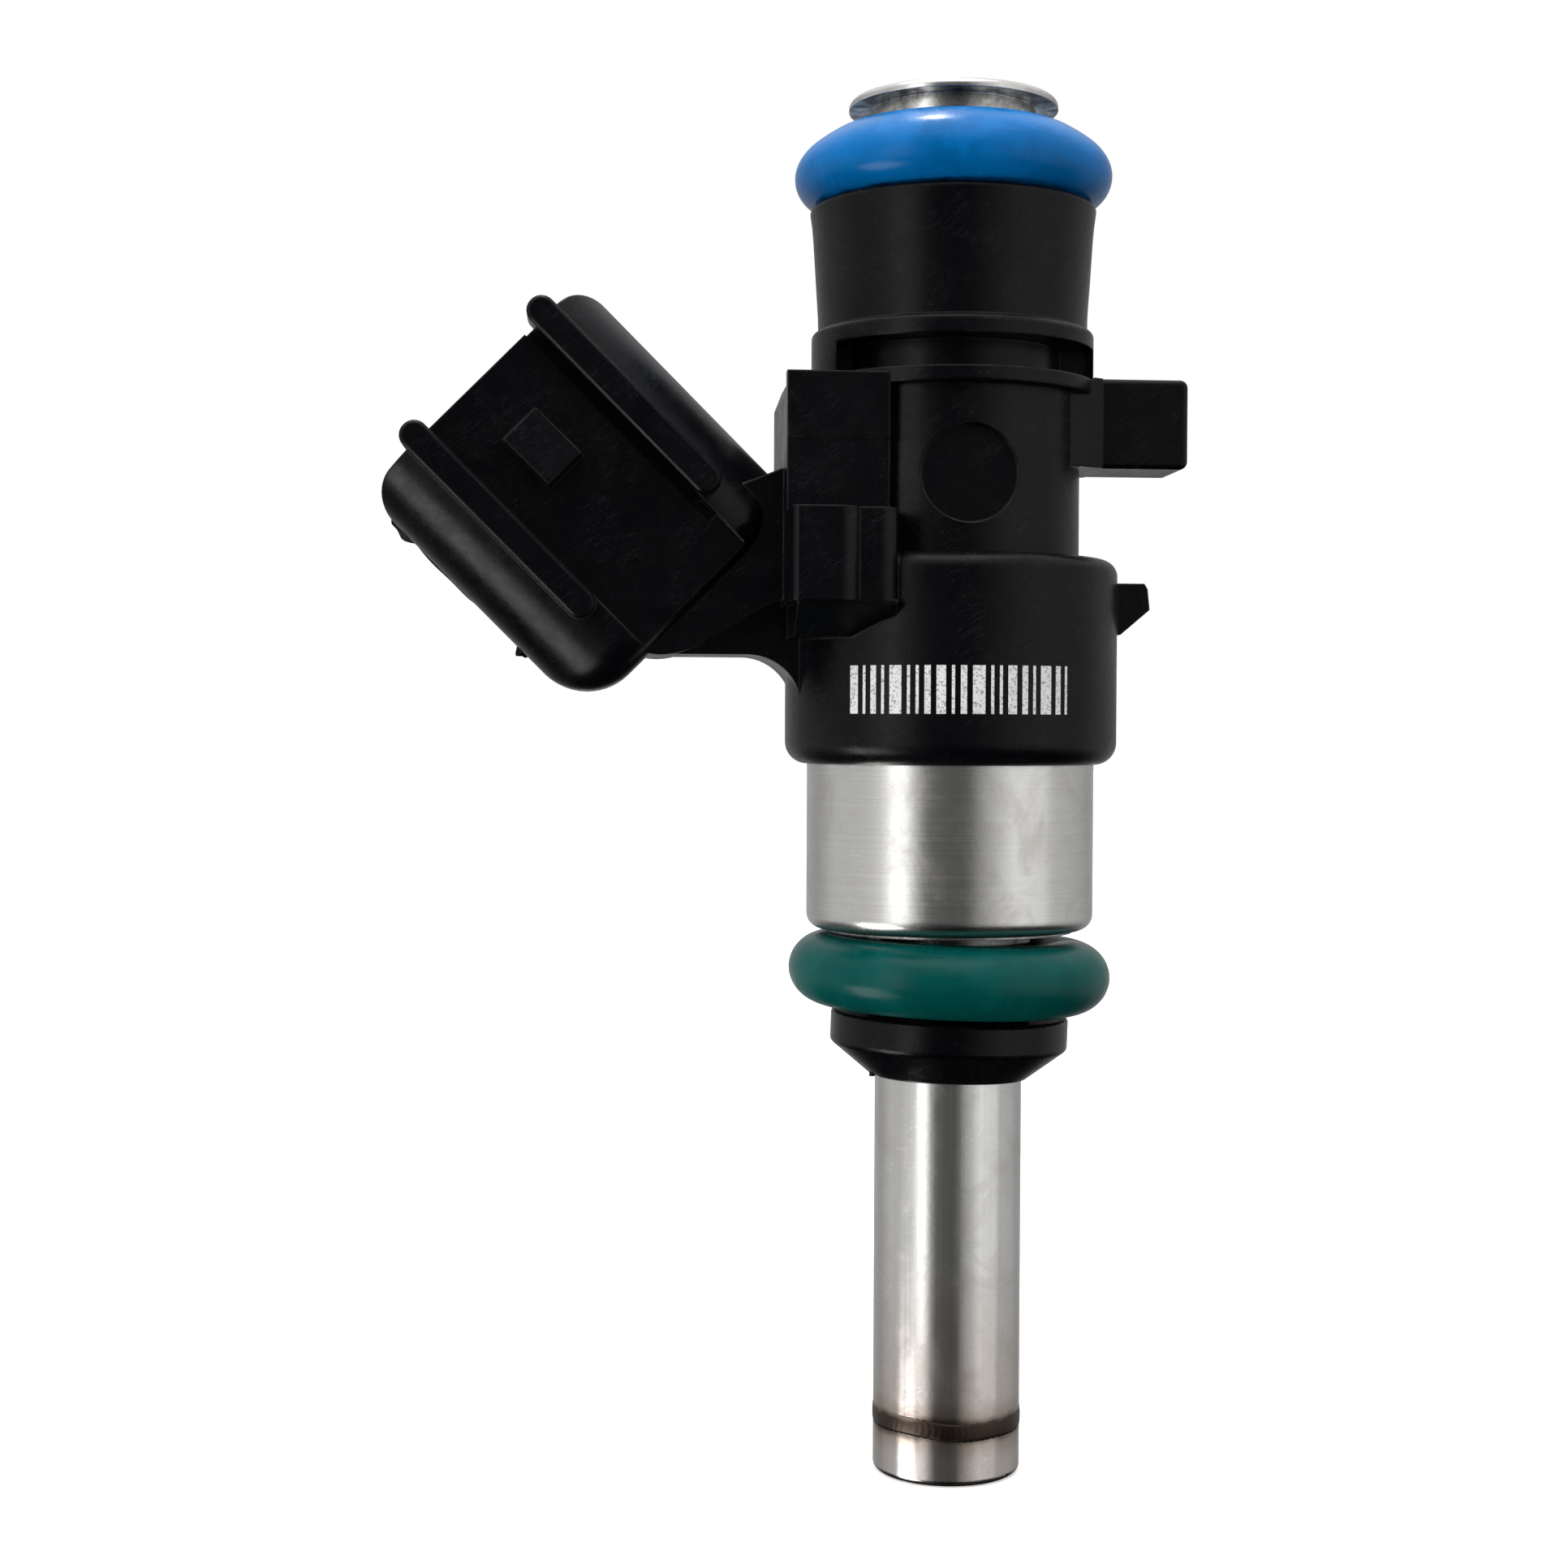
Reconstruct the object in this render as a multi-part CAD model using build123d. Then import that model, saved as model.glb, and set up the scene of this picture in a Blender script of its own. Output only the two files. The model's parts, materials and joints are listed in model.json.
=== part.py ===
"""Port fuel injector, in millimetres.

The injector's axis is Z, with the spray tip at the origin and the fuel inlet up. The electrical
connector leans 45 degrees up towards -X, the locating tab points to +X, and -Y is the front.
"""

import os
from math import cos, pi, sqrt

from build123d import *

# Valve tube and fuel inlet tube
TIP_R = 3.38
TIP_UPPER_R = 3.17
TIP_BORE_R = 2.96
TIP_LIP_R = 2.45
TIP_LIP_H = 0.45
TIP_ROUND = 0.3
TIP_TOP_Z = 30.65
INLET_R = 3.78
INLET_BORE_R = 3.2
INLET_BOTTOM_Z = 25.15
INLET_TOP_Z = 62.8
RIM_R = 4.78
RIM_T = 0.42

# Seals: radii, half width, half height, height of the centre and tilt about Y
SEAL_INNER_R = 3.79
SEAL_OUTER_R = 7.24
SEAL_SAG = 0.28
UPPER_SEAL_HALF_H = 1.75
LOWER_SEAL_HALF_W = 1.8
LOWER_SEAL_HALF_H = 1.66
UPPER_SEAL_Z = 59.67
LOWER_SEAL_Z = 22.99
LOWER_SEAL_TILT = 2.0

# Plastic ring under the lower seal
SUPPORT_R = 5.46
SUPPORT_BOTTOM_Z = 18.25
SUPPORT_EDGE_Z = 19.65
SUPPORT_TOP_Z = 21.09
SLEEVE_R = 3.74
SLEEVE_TOP_Z = 24.45

# Magnet pot and the coil inside it
POT_R = 6.58
POT_BORE_R = 6.13
POT_BOTTOM_Z = 25.0
POT_FLOOR = 0.9
POT_TOP_Z = 38.45
POT_ROUND = 0.7
SHOULDER_R = 5.65
SHOULDER_Z = 24.87
WASHER_BOTTOM_Z = 37.25
WASHER_TOP_Z = 38.25
SPOOL_R = 6.05
SPOOL_BORE_R = 3.85
SPOOL_CORE_R = 4.25
SPOOL_FLANGE = 0.8
WINDING_R = 5.7
LEAD_R = 0.14

# Moulded body
BARREL_R = 7.6
BARREL_BOTTOM_Z = 32.55
BARREL_TOP_Z = 41.85
WAIST_R = 5.84
FLANGE_R = 6.45
FLANGE_BOTTOM_Z = 49.25
GROOVE_BOTTOM_Z = 49.95
GROOVE_TOP_Z = 51.37
GROOVE_FLOOR_R = 4.9
GROOVE_LEFT_X = -5.65
GROOVE_RIGHT_X = 6.15
GROOVE_WALL_Y = 1.3
FLANGE_TOP_Z = 52.22
COLLAR_LOW_R = 6.15
COLLAR_TOP_R = 6.57
COLLAR_TOP_Z = 57.87
TAB_X = 10.55
TAB_HALF_Y = 2.1
TAB_ROOT_HALF_Y = 3.3
TAB_ROOT_X = 6.6
TAB_BOTTOM_Z = 46.0
TAB_TOP_Z = 50.05
SIDE_X = -8.0
BLOCK_X = -3.5
BLOCK_Y = 5.4
BLOCK_STEP = 0.08
BLOCK_STEP_Z = 46.85
BLOCK_TOP_Z = 49.75
BLOCK_BACK_ROUND = 3.2
KNUCKLE_X = -3.3
KNUCKLE_STEP_X = -5.05
KNUCKLE_Y = 8.2
KNUCKLE_STEP_Y = 7.55
KNUCKLE_ROUND = 0.8
KNUCKLE_BOTTOM_Z = 39.6
KNUCKLE_TOP_Z = 43.65
GUSSET_DROP = 1.45
GUSSET_FOOT_Y = 5.6
HOOK_TOP_Z = 40.85
HOOK_X = 9.05
HOOK_HALF_Y = 1.1
DIMPLE_Z = 45.35
DIMPLE_R = 2.15
DIMPLE_FLOOR_Y = -5.35

# Connector: centre of its mouth, outer and inner section, and depth
MOUTH_X = -21.55
MOUTH_Z = 49.12
SHELL_W = 13.55
SHELL_T = 9.2
SHELL_CORNER = 4.0
SHELL_LENGTH = 13.66
MOUTH_ROUND = 1.5
ROOT_ROUND_LOW = 2.75
ROOT_ROUND_HIGH = 2.0
ROOT_EDGE = 1.5
SOCKET_W = 10.9
SOCKET_T = 6.4
SOCKET_CORNER = 2.9
SOCKET_DEPTH = 10.2
RIB_INNER = 3.2
RIB_OUTER = 4.5
RIB_TOP = 5.4
RIB_LENGTH = 11.4
RIB_OVERHANG = 0.74
RIB_SHIFT = 0.33
CHANNEL_DEPTH = 0.45
SLOT_W = 0.5
SLOT_DEPTH = 0.8
LATCH_HALF_W = 1.0
LATCH_START = 2.55
LATCH_END = 5.5
LATCH_SHIFT = 0.1
NECK_HALF_Y = 3.7
WEB_HALF_Y = 2.5
NECK_BOTTOM_Z = 37.45
NECK_TOP_Z = 45.65
NECK_FOOT_X = -7.1
NECK_FOOT_Z = 34.4
NECK_ARC_R = 2.4
NECK_TOP_X = -8.1
NECK_SLOPE_X = -16.5
NECK_SLOPE_DROP = 3.4

# Contact blades
BLADE_OFFSET = 2.2
BLADE_W = 1.5
BLADE_T = 0.64
BLADE_TIP = 5.4
STRIP_W = 1.2
LOWER_RUN_Z = 39.45
UPPER_RUN_Z = 41.45
JOG_X = -9.0
JOG_Y = 1.6
DROP_X = -5.1
DROP_BOTTOM_Z = 36.75

# Valve: ball, stem, armature, core and spring
BALL_R = 1.5
BALL_Z = 2.6
BALL_FLAT_R = 1.36
BALL_FLATS = 5
SEAT_R = 2.94
SEAT_TOP_Z = 4.2
SEAT_GAP = 0.01
GUIDE_R = 1.53
SEAT_HOLE_R = 0.45
DISC_T = 0.25
STEM_R = 1.1
STEM_BORE_R = 0.7
STEM_TOP_Z = 33.25
ARMATURE_R = 3.12
ARMATURE_BOTTOM_Z = 30.85
ARMATURE_TOP_Z = 36.3
SPRING_POCKET_R = 1.42
SPRING_POCKET_Z = 33.85
STOP_RING_TOP_Z = 36.35
CORE_R = 3.19
CORE_BORE_R = 1.55
CORE_BOTTOM_Z = 36.45
CORE_TOP_Z = 46.25
SPRING_TOP_Z = 42.25
SPRING_R = 1.1
WIRE_R = 0.15
SPRING_TURNS = 8
SLEEVE_BORE_R = 1.15
ADJUSTER_TOP_Z = 47.25

# Inlet filter
FILTER_CAP_Z = 48.15
FILTER_TOP_Z = 56.65
MESH_R = 2.1
CAGE_R = 2.5
CAGE_RIBS = 4

MOUTH = Plane(
    origin=(MOUTH_X, 0, MOUTH_Z),
    x_dir=(1, 0, 1),
    z_dir=(1, 0, -1),
)


def turned(*profile):
    """A solid of revolution about Z from (radius, height) corners."""
    face = make_face(Plane.XZ * Polyline(*profile, close=True))
    return revolve(face, Axis.Z)


def tube(outer, inner, bottom, top):
    """A plain tube about Z."""
    return turned((inner, bottom), (outer, bottom), (outer, top), (inner, top))


def disc(radius, bottom, top):
    """A plain cylinder about Z."""
    return turned((0, bottom), (radius, bottom), (radius, top), (0, top))


def block(x0, x1, y0, y1, z0, z1):
    """A box between two corners."""
    centre = Pos((x0 + x1) / 2, (y0 + y1) / 2, (z0 + z1) / 2)
    return centre * Box(x1 - x0, y1 - y0, z1 - z0)


def round_edges(part, radius, height):
    """The part's circular edges of one radius about Z, at one height."""
    circles = part.edges().filter_by(GeomType.CIRCLE)
    return [e for e in circles if abs(e.radius - radius) < 0.01 and abs(e.center().Z - height) < 0.01]


def upper_o_ring():
    """The seal in the fuel rail's cup, which bulges low on its stretched section."""
    section = Plane.XZ * Spline(
        (SEAL_INNER_R, UPPER_SEAL_Z),
        (SEAL_INNER_R + 0.55, UPPER_SEAL_Z + 0.93 * UPPER_SEAL_HALF_H),
        (SEAL_INNER_R + 1.25, UPPER_SEAL_Z + 0.99 * UPPER_SEAL_HALF_H),
        (SEAL_INNER_R + 2.2, UPPER_SEAL_Z + 0.74 * UPPER_SEAL_HALF_H),
        (SEAL_OUTER_R - 0.3, UPPER_SEAL_Z + 0.28 * UPPER_SEAL_HALF_H),
        (SEAL_OUTER_R, UPPER_SEAL_Z - SEAL_SAG),
        (SEAL_OUTER_R - 0.22, UPPER_SEAL_Z - 0.64 * UPPER_SEAL_HALF_H),
        (SEAL_OUTER_R - 0.85, UPPER_SEAL_Z - 0.94 * UPPER_SEAL_HALF_H),
        (SEAL_INNER_R + 1.5, UPPER_SEAL_Z - UPPER_SEAL_HALF_H),
        (SEAL_INNER_R + 0.5, UPPER_SEAL_Z - 0.8 * UPPER_SEAL_HALF_H),
        periodic=True,
    )
    ring = revolve(make_face(section), Axis.Z)
    return ring - disc(INLET_R + 0.01, BARREL_TOP_Z, INLET_TOP_Z)


def lower_o_ring():
    """The seal in the manifold bore, with an oval section, which sits a little tilted."""
    oval = Ellipse(LOWER_SEAL_HALF_W, LOWER_SEAL_HALF_H)
    section = Plane.XZ * Pos(SEAL_INNER_R + LOWER_SEAL_HALF_W, 0) * oval
    return Pos(0, 0, LOWER_SEAL_Z) * Rot(0, LOWER_SEAL_TILT, 0) * revolve(section, Axis.Z)


def inlet_tube():
    """The fuel tube, with its flared and rounded rim."""
    body = tube(INLET_R, INLET_BORE_R, INLET_BOTTOM_Z, INLET_TOP_Z)
    rim = tube(RIM_R, INLET_BORE_R, INLET_TOP_Z - RIM_T, INLET_TOP_Z)
    flared = body + rim
    flared = fillet(round_edges(flared, RIM_R, INLET_TOP_Z), 0.3)
    return fillet(round_edges(flared, INLET_BORE_R, INLET_TOP_Z), 0.25)


def nozzle_tube():
    """The valve tube, with a turned-in lip under the orifice disc."""
    body = turned(
        (TIP_LIP_R, 0),
        (TIP_R, 0),
        (TIP_R, SUPPORT_BOTTOM_Z),
        (TIP_UPPER_R, SUPPORT_BOTTOM_Z),
        (TIP_UPPER_R, TIP_TOP_Z),
        (TIP_BORE_R, TIP_TOP_Z),
        (TIP_BORE_R, TIP_LIP_H),
        (TIP_LIP_R, TIP_LIP_H),
    )
    return fillet(round_edges(body, TIP_R, 0), TIP_ROUND)


def support_ring():
    """The plastic ring and cone under the lower seal, tilted with it, on a straight sleeve."""
    fit = 0.02
    ring = turned(
        (0, SUPPORT_BOTTOM_Z),
        (TIP_R + 0.3, SUPPORT_BOTTOM_Z),
        (SUPPORT_R, SUPPORT_EDGE_Z),
        (SUPPORT_R, SUPPORT_TOP_Z),
        (0, SUPPORT_TOP_Z),
    )
    ring = fillet(round_edges(ring, SUPPORT_R, SUPPORT_TOP_Z), 0.18)
    ring = fillet(round_edges(ring, SUPPORT_R, SUPPORT_EDGE_Z), 0.3)
    middle = Pos(0, 0, (SUPPORT_BOTTOM_Z + SUPPORT_TOP_Z) / 2)
    ring = middle * Rot(0, LOWER_SEAL_TILT, 0) * middle.inverse() * ring
    nub = Pos(-3.6, -0.7, SUPPORT_BOTTOM_Z + 0.2) * Cylinder(0.14, 0.4)
    body = ring + nub + disc(SLEEVE_R, SUPPORT_TOP_Z - 1, SLEEVE_TOP_Z)
    body -= disc(TIP_UPPER_R + fit, SUPPORT_BOTTOM_Z - 1, SLEEVE_TOP_Z + 1)
    return body - disc(TIP_R + fit, SUPPORT_BOTTOM_Z - 1, SUPPORT_BOTTOM_Z + fit)


def magnet_pot():
    """The steel can around the coil, with a shoulder under its floor."""
    body = turned(
        (INLET_R + 0.01, SHOULDER_Z),
        (SHOULDER_R, SHOULDER_Z),
        (SHOULDER_R, POT_BOTTOM_Z),
        (POT_R, POT_BOTTOM_Z),
        (POT_R, POT_TOP_Z),
        (POT_BORE_R, POT_TOP_Z),
        (POT_BORE_R, POT_BOTTOM_Z + POT_FLOOR),
        (INLET_R + 0.01, POT_BOTTOM_Z + POT_FLOOR),
    )
    return fillet(round_edges(body, POT_R, POT_BOTTOM_Z), POT_ROUND)


def flux_washer():
    """The steel washer over the coil, notched for the contact blades."""
    ring = tube(POT_BORE_R - 0.01, INLET_R + 0.01, WASHER_BOTTOM_Z, WASHER_TOP_Z)
    notch = block(-8, -4.4, -2.4, 2.4, WASHER_BOTTOM_Z - 1, WASHER_TOP_Z + 1)
    return ring - notch


def strip(turn_x, run_z, side):
    """A blade's hidden strip: along its run, over to one side and down to the coil."""
    half_t = BLADE_T / 2
    half_w = STRIP_W / 2
    jog = side * JOG_Y
    run = block(turn_x, JOG_X, -half_t, half_t, run_z - half_w, run_z + half_w)
    low_y = min(-half_t, jog - half_t)
    high_y = max(half_t, jog + half_t)
    step = block(JOG_X - BLADE_T, JOG_X, low_y, high_y, run_z - half_w, run_z + half_w)
    end_x = DROP_X + half_w
    over = block(JOG_X - BLADE_T, end_x, jog - half_t, jog + half_t, run_z - half_w, run_z + half_w)
    drop = block(end_x - STRIP_W, end_x, jog - half_t, jog + half_t, DROP_BOTTOM_Z, run_z)
    return run + step + over + drop


def terminal_pin(offset, run_z, side):
    """One contact: a blade in the socket, with its strip to the coil."""
    mouth_x = MOUTH_X + offset * cos(pi / 4)
    mouth_z = MOUTH_Z + offset * cos(pi / 4)
    reach = (mouth_z - run_z) / cos(pi / 4)
    turn_x = mouth_x + reach * cos(pi / 4)
    end = reach + STRIP_W / 2
    blade = Box(BLADE_W, BLADE_T, end - BLADE_TIP, align=(Align.CENTER, Align.CENTER, Align.MIN))
    tip = chamfer(blade.faces().sort_by(Axis.Z)[0].edges(), 0.18)
    placed = MOUTH * Pos(offset, 0, BLADE_TIP) * tip
    return placed + strip(turn_x, run_z, side)


def terminal_pin_upper():
    """The contact nearer the fuel rail."""
    return terminal_pin(BLADE_OFFSET, UPPER_RUN_Z, 1)


def terminal_pin_lower():
    """The contact nearer the manifold."""
    return terminal_pin(-BLADE_OFFSET, LOWER_RUN_Z, -1)


def lead_places():
    """Where the two wire ends leave the winding."""
    return [(DROP_X, JOG_Y), (DROP_X, -JOG_Y)]


def coil_bobbin():
    """The spool, with a tower that holds the contact blades' ends."""
    bottom = POT_BOTTOM_Z + POT_FLOOR + 0.05
    top = WASHER_BOTTOM_Z - 0.05
    spool = turned(
        (SPOOL_BORE_R, bottom),
        (SPOOL_R, bottom),
        (SPOOL_R, bottom + SPOOL_FLANGE),
        (SPOOL_CORE_R, bottom + SPOOL_FLANGE),
        (SPOOL_CORE_R, top - SPOOL_FLANGE),
        (SPOOL_R, top - SPOOL_FLANGE),
        (SPOOL_R, top),
        (SPOOL_BORE_R, top),
    )
    tower = block(-5.95, -4.45, -2.3, 2.3, top - 0.2, WASHER_TOP_Z)
    tower &= disc(SPOOL_R, top - 0.2, WASHER_TOP_Z)
    body = spool + tower
    for x, y in lead_places():
        body -= Pos(x, y, top - SPOOL_FLANGE) * Cylinder(LEAD_R + 0.02, 2.4)
    return body - terminal_pin_upper() - terminal_pin_lower()


def coil_winding():
    """The copper winding, as one closed roll."""
    bottom = POT_BOTTOM_Z + POT_FLOOR + 0.05 + SPOOL_FLANGE
    top = WASHER_BOTTOM_Z - 0.05 - SPOOL_FLANGE
    return tube(WINDING_R, SPOOL_CORE_R, bottom, top)


def coil_leads():
    """The two wire ends between the winding and the contacts."""
    low = WASHER_BOTTOM_Z - 0.05 - SPOOL_FLANGE
    ends = [Pos(x, y, (low + DROP_BOTTOM_Z) / 2) for x, y in lead_places()]
    height = DROP_BOTTOM_Z - low
    return Compound(children=[end * Cylinder(LEAD_R, height) for end in ends])


def pole_core():
    """The fixed core over the armature."""
    body = tube(CORE_R, CORE_BORE_R, CORE_BOTTOM_Z, CORE_TOP_Z)
    return chamfer(round_edges(body, CORE_BORE_R, CORE_TOP_Z), 0.9)


def adjusting_sleeve():
    """The slit sleeve pressed over the spring."""
    sleeve = tube(CORE_BORE_R - 0.01, SLEEVE_BORE_R, SPRING_TOP_Z, ADJUSTER_TOP_Z)
    return sleeve - block(0, 3, -0.2, 0.2, SPRING_TOP_Z - 1, ADJUSTER_TOP_Z + 1)


def return_spring():
    """The closing spring between the armature's pocket and the sleeve."""
    low = SPRING_POCKET_Z + WIRE_R + 0.02
    height = SPRING_TOP_Z - WIRE_R - low
    path = Helix(pitch=height / SPRING_TURNS, height=height, radius=SPRING_R)
    section = Plane(origin=path @ 0, z_dir=path % 0) * Circle(WIRE_R)
    return Pos(0, 0, low) * sweep(section, path, is_frenet=True)


def armature():
    """The moving core, bored for the spring above and the stem below."""
    body = turned(
        (STEM_R, ARMATURE_BOTTOM_Z),
        (ARMATURE_R, ARMATURE_BOTTOM_Z),
        (ARMATURE_R, ARMATURE_TOP_Z),
        (SPRING_POCKET_R, ARMATURE_TOP_Z),
        (SPRING_POCKET_R, SPRING_POCKET_Z),
        (STEM_BORE_R, SPRING_POCKET_Z),
        (STEM_BORE_R, STEM_TOP_Z),
        (STEM_R, STEM_TOP_Z),
    )
    outer = body.edges().filter_by(GeomType.CIRCLE).sort_by(SortBy.RADIUS)[-2:]
    body = chamfer(outer, 0.2)
    return body - armature_stop_ring()


def armature_stop_ring():
    """The hard ring let into the armature's top face, which meets the core."""
    return tube(2.7, 1.9, ARMATURE_TOP_Z - 0.35, STOP_RING_TOP_Z)


def valve_ball():
    """The ball, with flats that let fuel past its guide."""
    ball = Pos(0, 0, BALL_Z) * Sphere(BALL_R)
    cutter = block(BALL_FLAT_R, 3, -2, 2, BALL_Z - 2, BALL_Z + 2)
    for k in range(BALL_FLATS):
        ball -= Rot(0, 0, 360 / BALL_FLATS * k) * cutter
    return ball


def needle_tube():
    """The hollow stem, with cross holes near both ends."""
    stem = tube(STEM_R, STEM_BORE_R, BALL_Z + 0.9, STEM_TOP_Z)
    stem -= Pos(0, 0, BALL_Z) * Sphere(BALL_R)
    hole = Rot(0, 90, 0) * Cylinder(0.35, 4)
    stem -= Pos(0, 0, 5.6) * hole
    stem -= Pos(0, 0, 7.2) * Rot(0, 0, 90) * hole
    return stem


def seat_body():
    """The valve seat: a guide bore over a 90 degree cone."""
    apex = BALL_Z - BALL_R * sqrt(2) - SEAT_GAP * sqrt(2)
    bottom = TIP_LIP_H + DISC_T
    return turned(
        (SEAT_HOLE_R, bottom),
        (SEAT_R, bottom),
        (SEAT_R, SEAT_TOP_Z - 0.3),
        (SEAT_R - 0.3, SEAT_TOP_Z),
        (GUIDE_R + 0.2, SEAT_TOP_Z),
        (GUIDE_R, SEAT_TOP_Z - 0.2),
        (GUIDE_R, apex + GUIDE_R),
        (SEAT_HOLE_R, apex + SEAT_HOLE_R),
    )


def orifice_disc():
    """The metering plate, with four spray holes."""
    plate = disc(SEAT_R, TIP_LIP_H, TIP_LIP_H + DISC_T)
    hole = Pos(0.28, 0, TIP_LIP_H) * Cylinder(0.11, 1)
    for k in range(4):
        plate -= Rot(0, 0, 45 + 90 * k) * hole
    return plate


def filter_frame():
    """The strainer's moulded cage."""
    collar = tube(2.78, MESH_R + 0.02, FILTER_TOP_Z - 2, FILTER_TOP_Z)
    cap = disc(CAGE_R, FILTER_CAP_Z, FILTER_CAP_Z + 0.6)
    body = collar + cap
    rib = block(MESH_R + 0.02, CAGE_R, -0.3, 0.3, FILTER_CAP_Z + 0.3, FILTER_TOP_Z - 1.9)
    for k in range(CAGE_RIBS):
        body += Rot(0, 0, 45 + 360 / CAGE_RIBS * k) * rib
    return body


def filter_mesh():
    """The gauze sleeve inside the cage."""
    return tube(MESH_R, MESH_R - 0.1, FILTER_CAP_Z + 0.6, FILTER_TOP_Z - 1)


def filter_ring():
    """The brass ring that presses the filter into the inlet."""
    return tube(INLET_BORE_R - 0.01, 2.79, FILTER_TOP_Z - 1.8, FILTER_TOP_Z + 0.2)


def barrel_and_collar():
    """The round stages of the moulded body, from the barrel up to the collar."""
    outline = Plane.XZ * Polyline(
        (COLLAR_TOP_R, COLLAR_TOP_Z),
        (0, COLLAR_TOP_Z),
        (0, BARREL_BOTTOM_Z),
        (BARREL_R, BARREL_BOTTOM_Z),
        (BARREL_R, BARREL_TOP_Z),
        (WAIST_R, BARREL_TOP_Z),
        (WAIST_R, FLANGE_BOTTOM_Z),
        (FLANGE_R, FLANGE_BOTTOM_Z),
        (FLANGE_R, FLANGE_TOP_Z),
        (COLLAR_LOW_R, FLANGE_TOP_Z),
    )
    flare = Plane.XZ * Spline(
        (COLLAR_LOW_R, FLANGE_TOP_Z),
        (COLLAR_LOW_R + 0.14, FLANGE_TOP_Z + 2.6),
        (COLLAR_TOP_R, COLLAR_TOP_Z),
        tangents=((0, 1), (0.2, 1)),
    )
    body = revolve(make_face(outline.edges() + flare.edges()), Axis.Z)
    rounds = {
        (BARREL_R, BARREL_BOTTOM_Z): 1.0,
        (BARREL_R, BARREL_TOP_Z): 0.75,
        (FLANGE_R, FLANGE_TOP_Z): 0.28,
        (FLANGE_R, FLANGE_BOTTOM_Z): 0.15,
        (COLLAR_TOP_R, COLLAR_TOP_Z): 0.2,
    }
    for (radius, height), size in rounds.items():
        body = fillet(round_edges(body, radius, height), size)
    return body


def clip_groove():
    """The cuts for the retaining clip, from the front and from the back, with a wall between."""
    front = block(GROOVE_LEFT_X, GROOVE_RIGHT_X, -9, -GROOVE_WALL_Y, GROOVE_BOTTOM_Z, GROOVE_TOP_Z)
    back = block(GROOVE_LEFT_X, GROOVE_RIGHT_X, GROOVE_WALL_Y, 9, GROOVE_BOTTOM_Z, GROOVE_TOP_Z)
    return front + back - disc(GROOVE_FLOOR_R, GROOVE_BOTTOM_Z - 1, GROOVE_TOP_Z + 1)


def locating_tab():
    """The tab on the right, with small round corners and a splayed root."""
    tab = block(0, TAB_X, -TAB_HALF_Y, TAB_HALF_Y, TAB_BOTTOM_Z, TAB_TOP_Z)
    tab = fillet(tab.edges().filter_by(Axis.Y).group_by(Axis.X)[-1], 0.35)
    tab = fillet(tab.edges().filter_by(Axis.Z).group_by(Axis.X)[-1], 0.25)
    splay_x = TAB_ROOT_X - 1.9
    root = Polyline(
        (WAIST_R / 2, -TAB_ROOT_HALF_Y),
        (splay_x, -TAB_ROOT_HALF_Y),
        (TAB_ROOT_X, -TAB_HALF_Y),
        (TAB_ROOT_X, TAB_HALF_Y),
        (splay_x, TAB_ROOT_HALF_Y),
        (WAIST_R / 2, TAB_ROOT_HALF_Y),
        close=True,
    )
    splay = extrude(Pos(0, 0, TAB_BOTTOM_Z) * make_face(root), TAB_TOP_Z - TAB_BOTTOM_Z)
    return tab + splay


def side_hook():
    """The small nose on the barrel's right side."""
    inside_x = BARREL_R - 0.6
    low_z = HOOK_TOP_Z - 2.35
    outline = Plane.XZ * Polyline(
        (inside_x, HOOK_TOP_Z),
        (HOOK_X - 0.25, HOOK_TOP_Z),
        (HOOK_X - 0.1, HOOK_TOP_Z - 0.25),
        (HOOK_X, HOOK_TOP_Z - 1.2),
        (BARREL_R + 0.1, low_z),
        (inside_x, low_z),
        close=True,
    )
    return extrude(make_face(outline), HOOK_HALF_Y, both=True)


def upper_block():
    """The square block over the knuckle: a flat front, and a back rounded at its outer corner."""
    bottom_z = KNUCKLE_TOP_Z - 0.2
    seam_y = BLOCK_Y - 0.8
    front = block(SIDE_X, BLOCK_X, -BLOCK_Y, -seam_y, BLOCK_STEP_Z, BLOCK_TOP_Z)
    front += block(SIDE_X, BLOCK_X, BLOCK_STEP - BLOCK_Y, -seam_y, bottom_z, BLOCK_STEP_Z)
    back = block(SIDE_X, BLOCK_X, -seam_y, BLOCK_Y, bottom_z, BLOCK_TOP_Z)
    upright = back.edges().filter_by(Axis.Z).group_by(Axis.X)[0].sort_by(Axis.Y)[-1:]
    back = fillet(upright, BLOCK_BACK_ROUND)
    top_edge = back.edges().filter_by(Axis.Y).group_by(Axis.X)[0].sort_by(Axis.Z)[-1:]
    back = chamfer(top_edge, 0.9, 0.35)
    return front + back


def knuckle():
    """The stepped block over the barrel's left side, which covers the contacts' drops."""
    lump = Part()
    for right_x, half_y in ((KNUCKLE_X, KNUCKLE_STEP_Y), (KNUCKLE_STEP_X, KNUCKLE_Y)):
        step = block(SIDE_X, right_x, -half_y, half_y, KNUCKLE_BOTTOM_Z, KNUCKLE_TOP_Z)
        lump += fillet(step.edges().filter_by(Axis.Z).group_by(Axis.X)[-1], KNUCKLE_ROUND)
    left = lump.edges().filter_by(Axis.Z).group_by(Axis.X)[0]
    lump = fillet(left, 0.4)
    for side in (1, -1):
        lump += gusset(side)
    return lump


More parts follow.
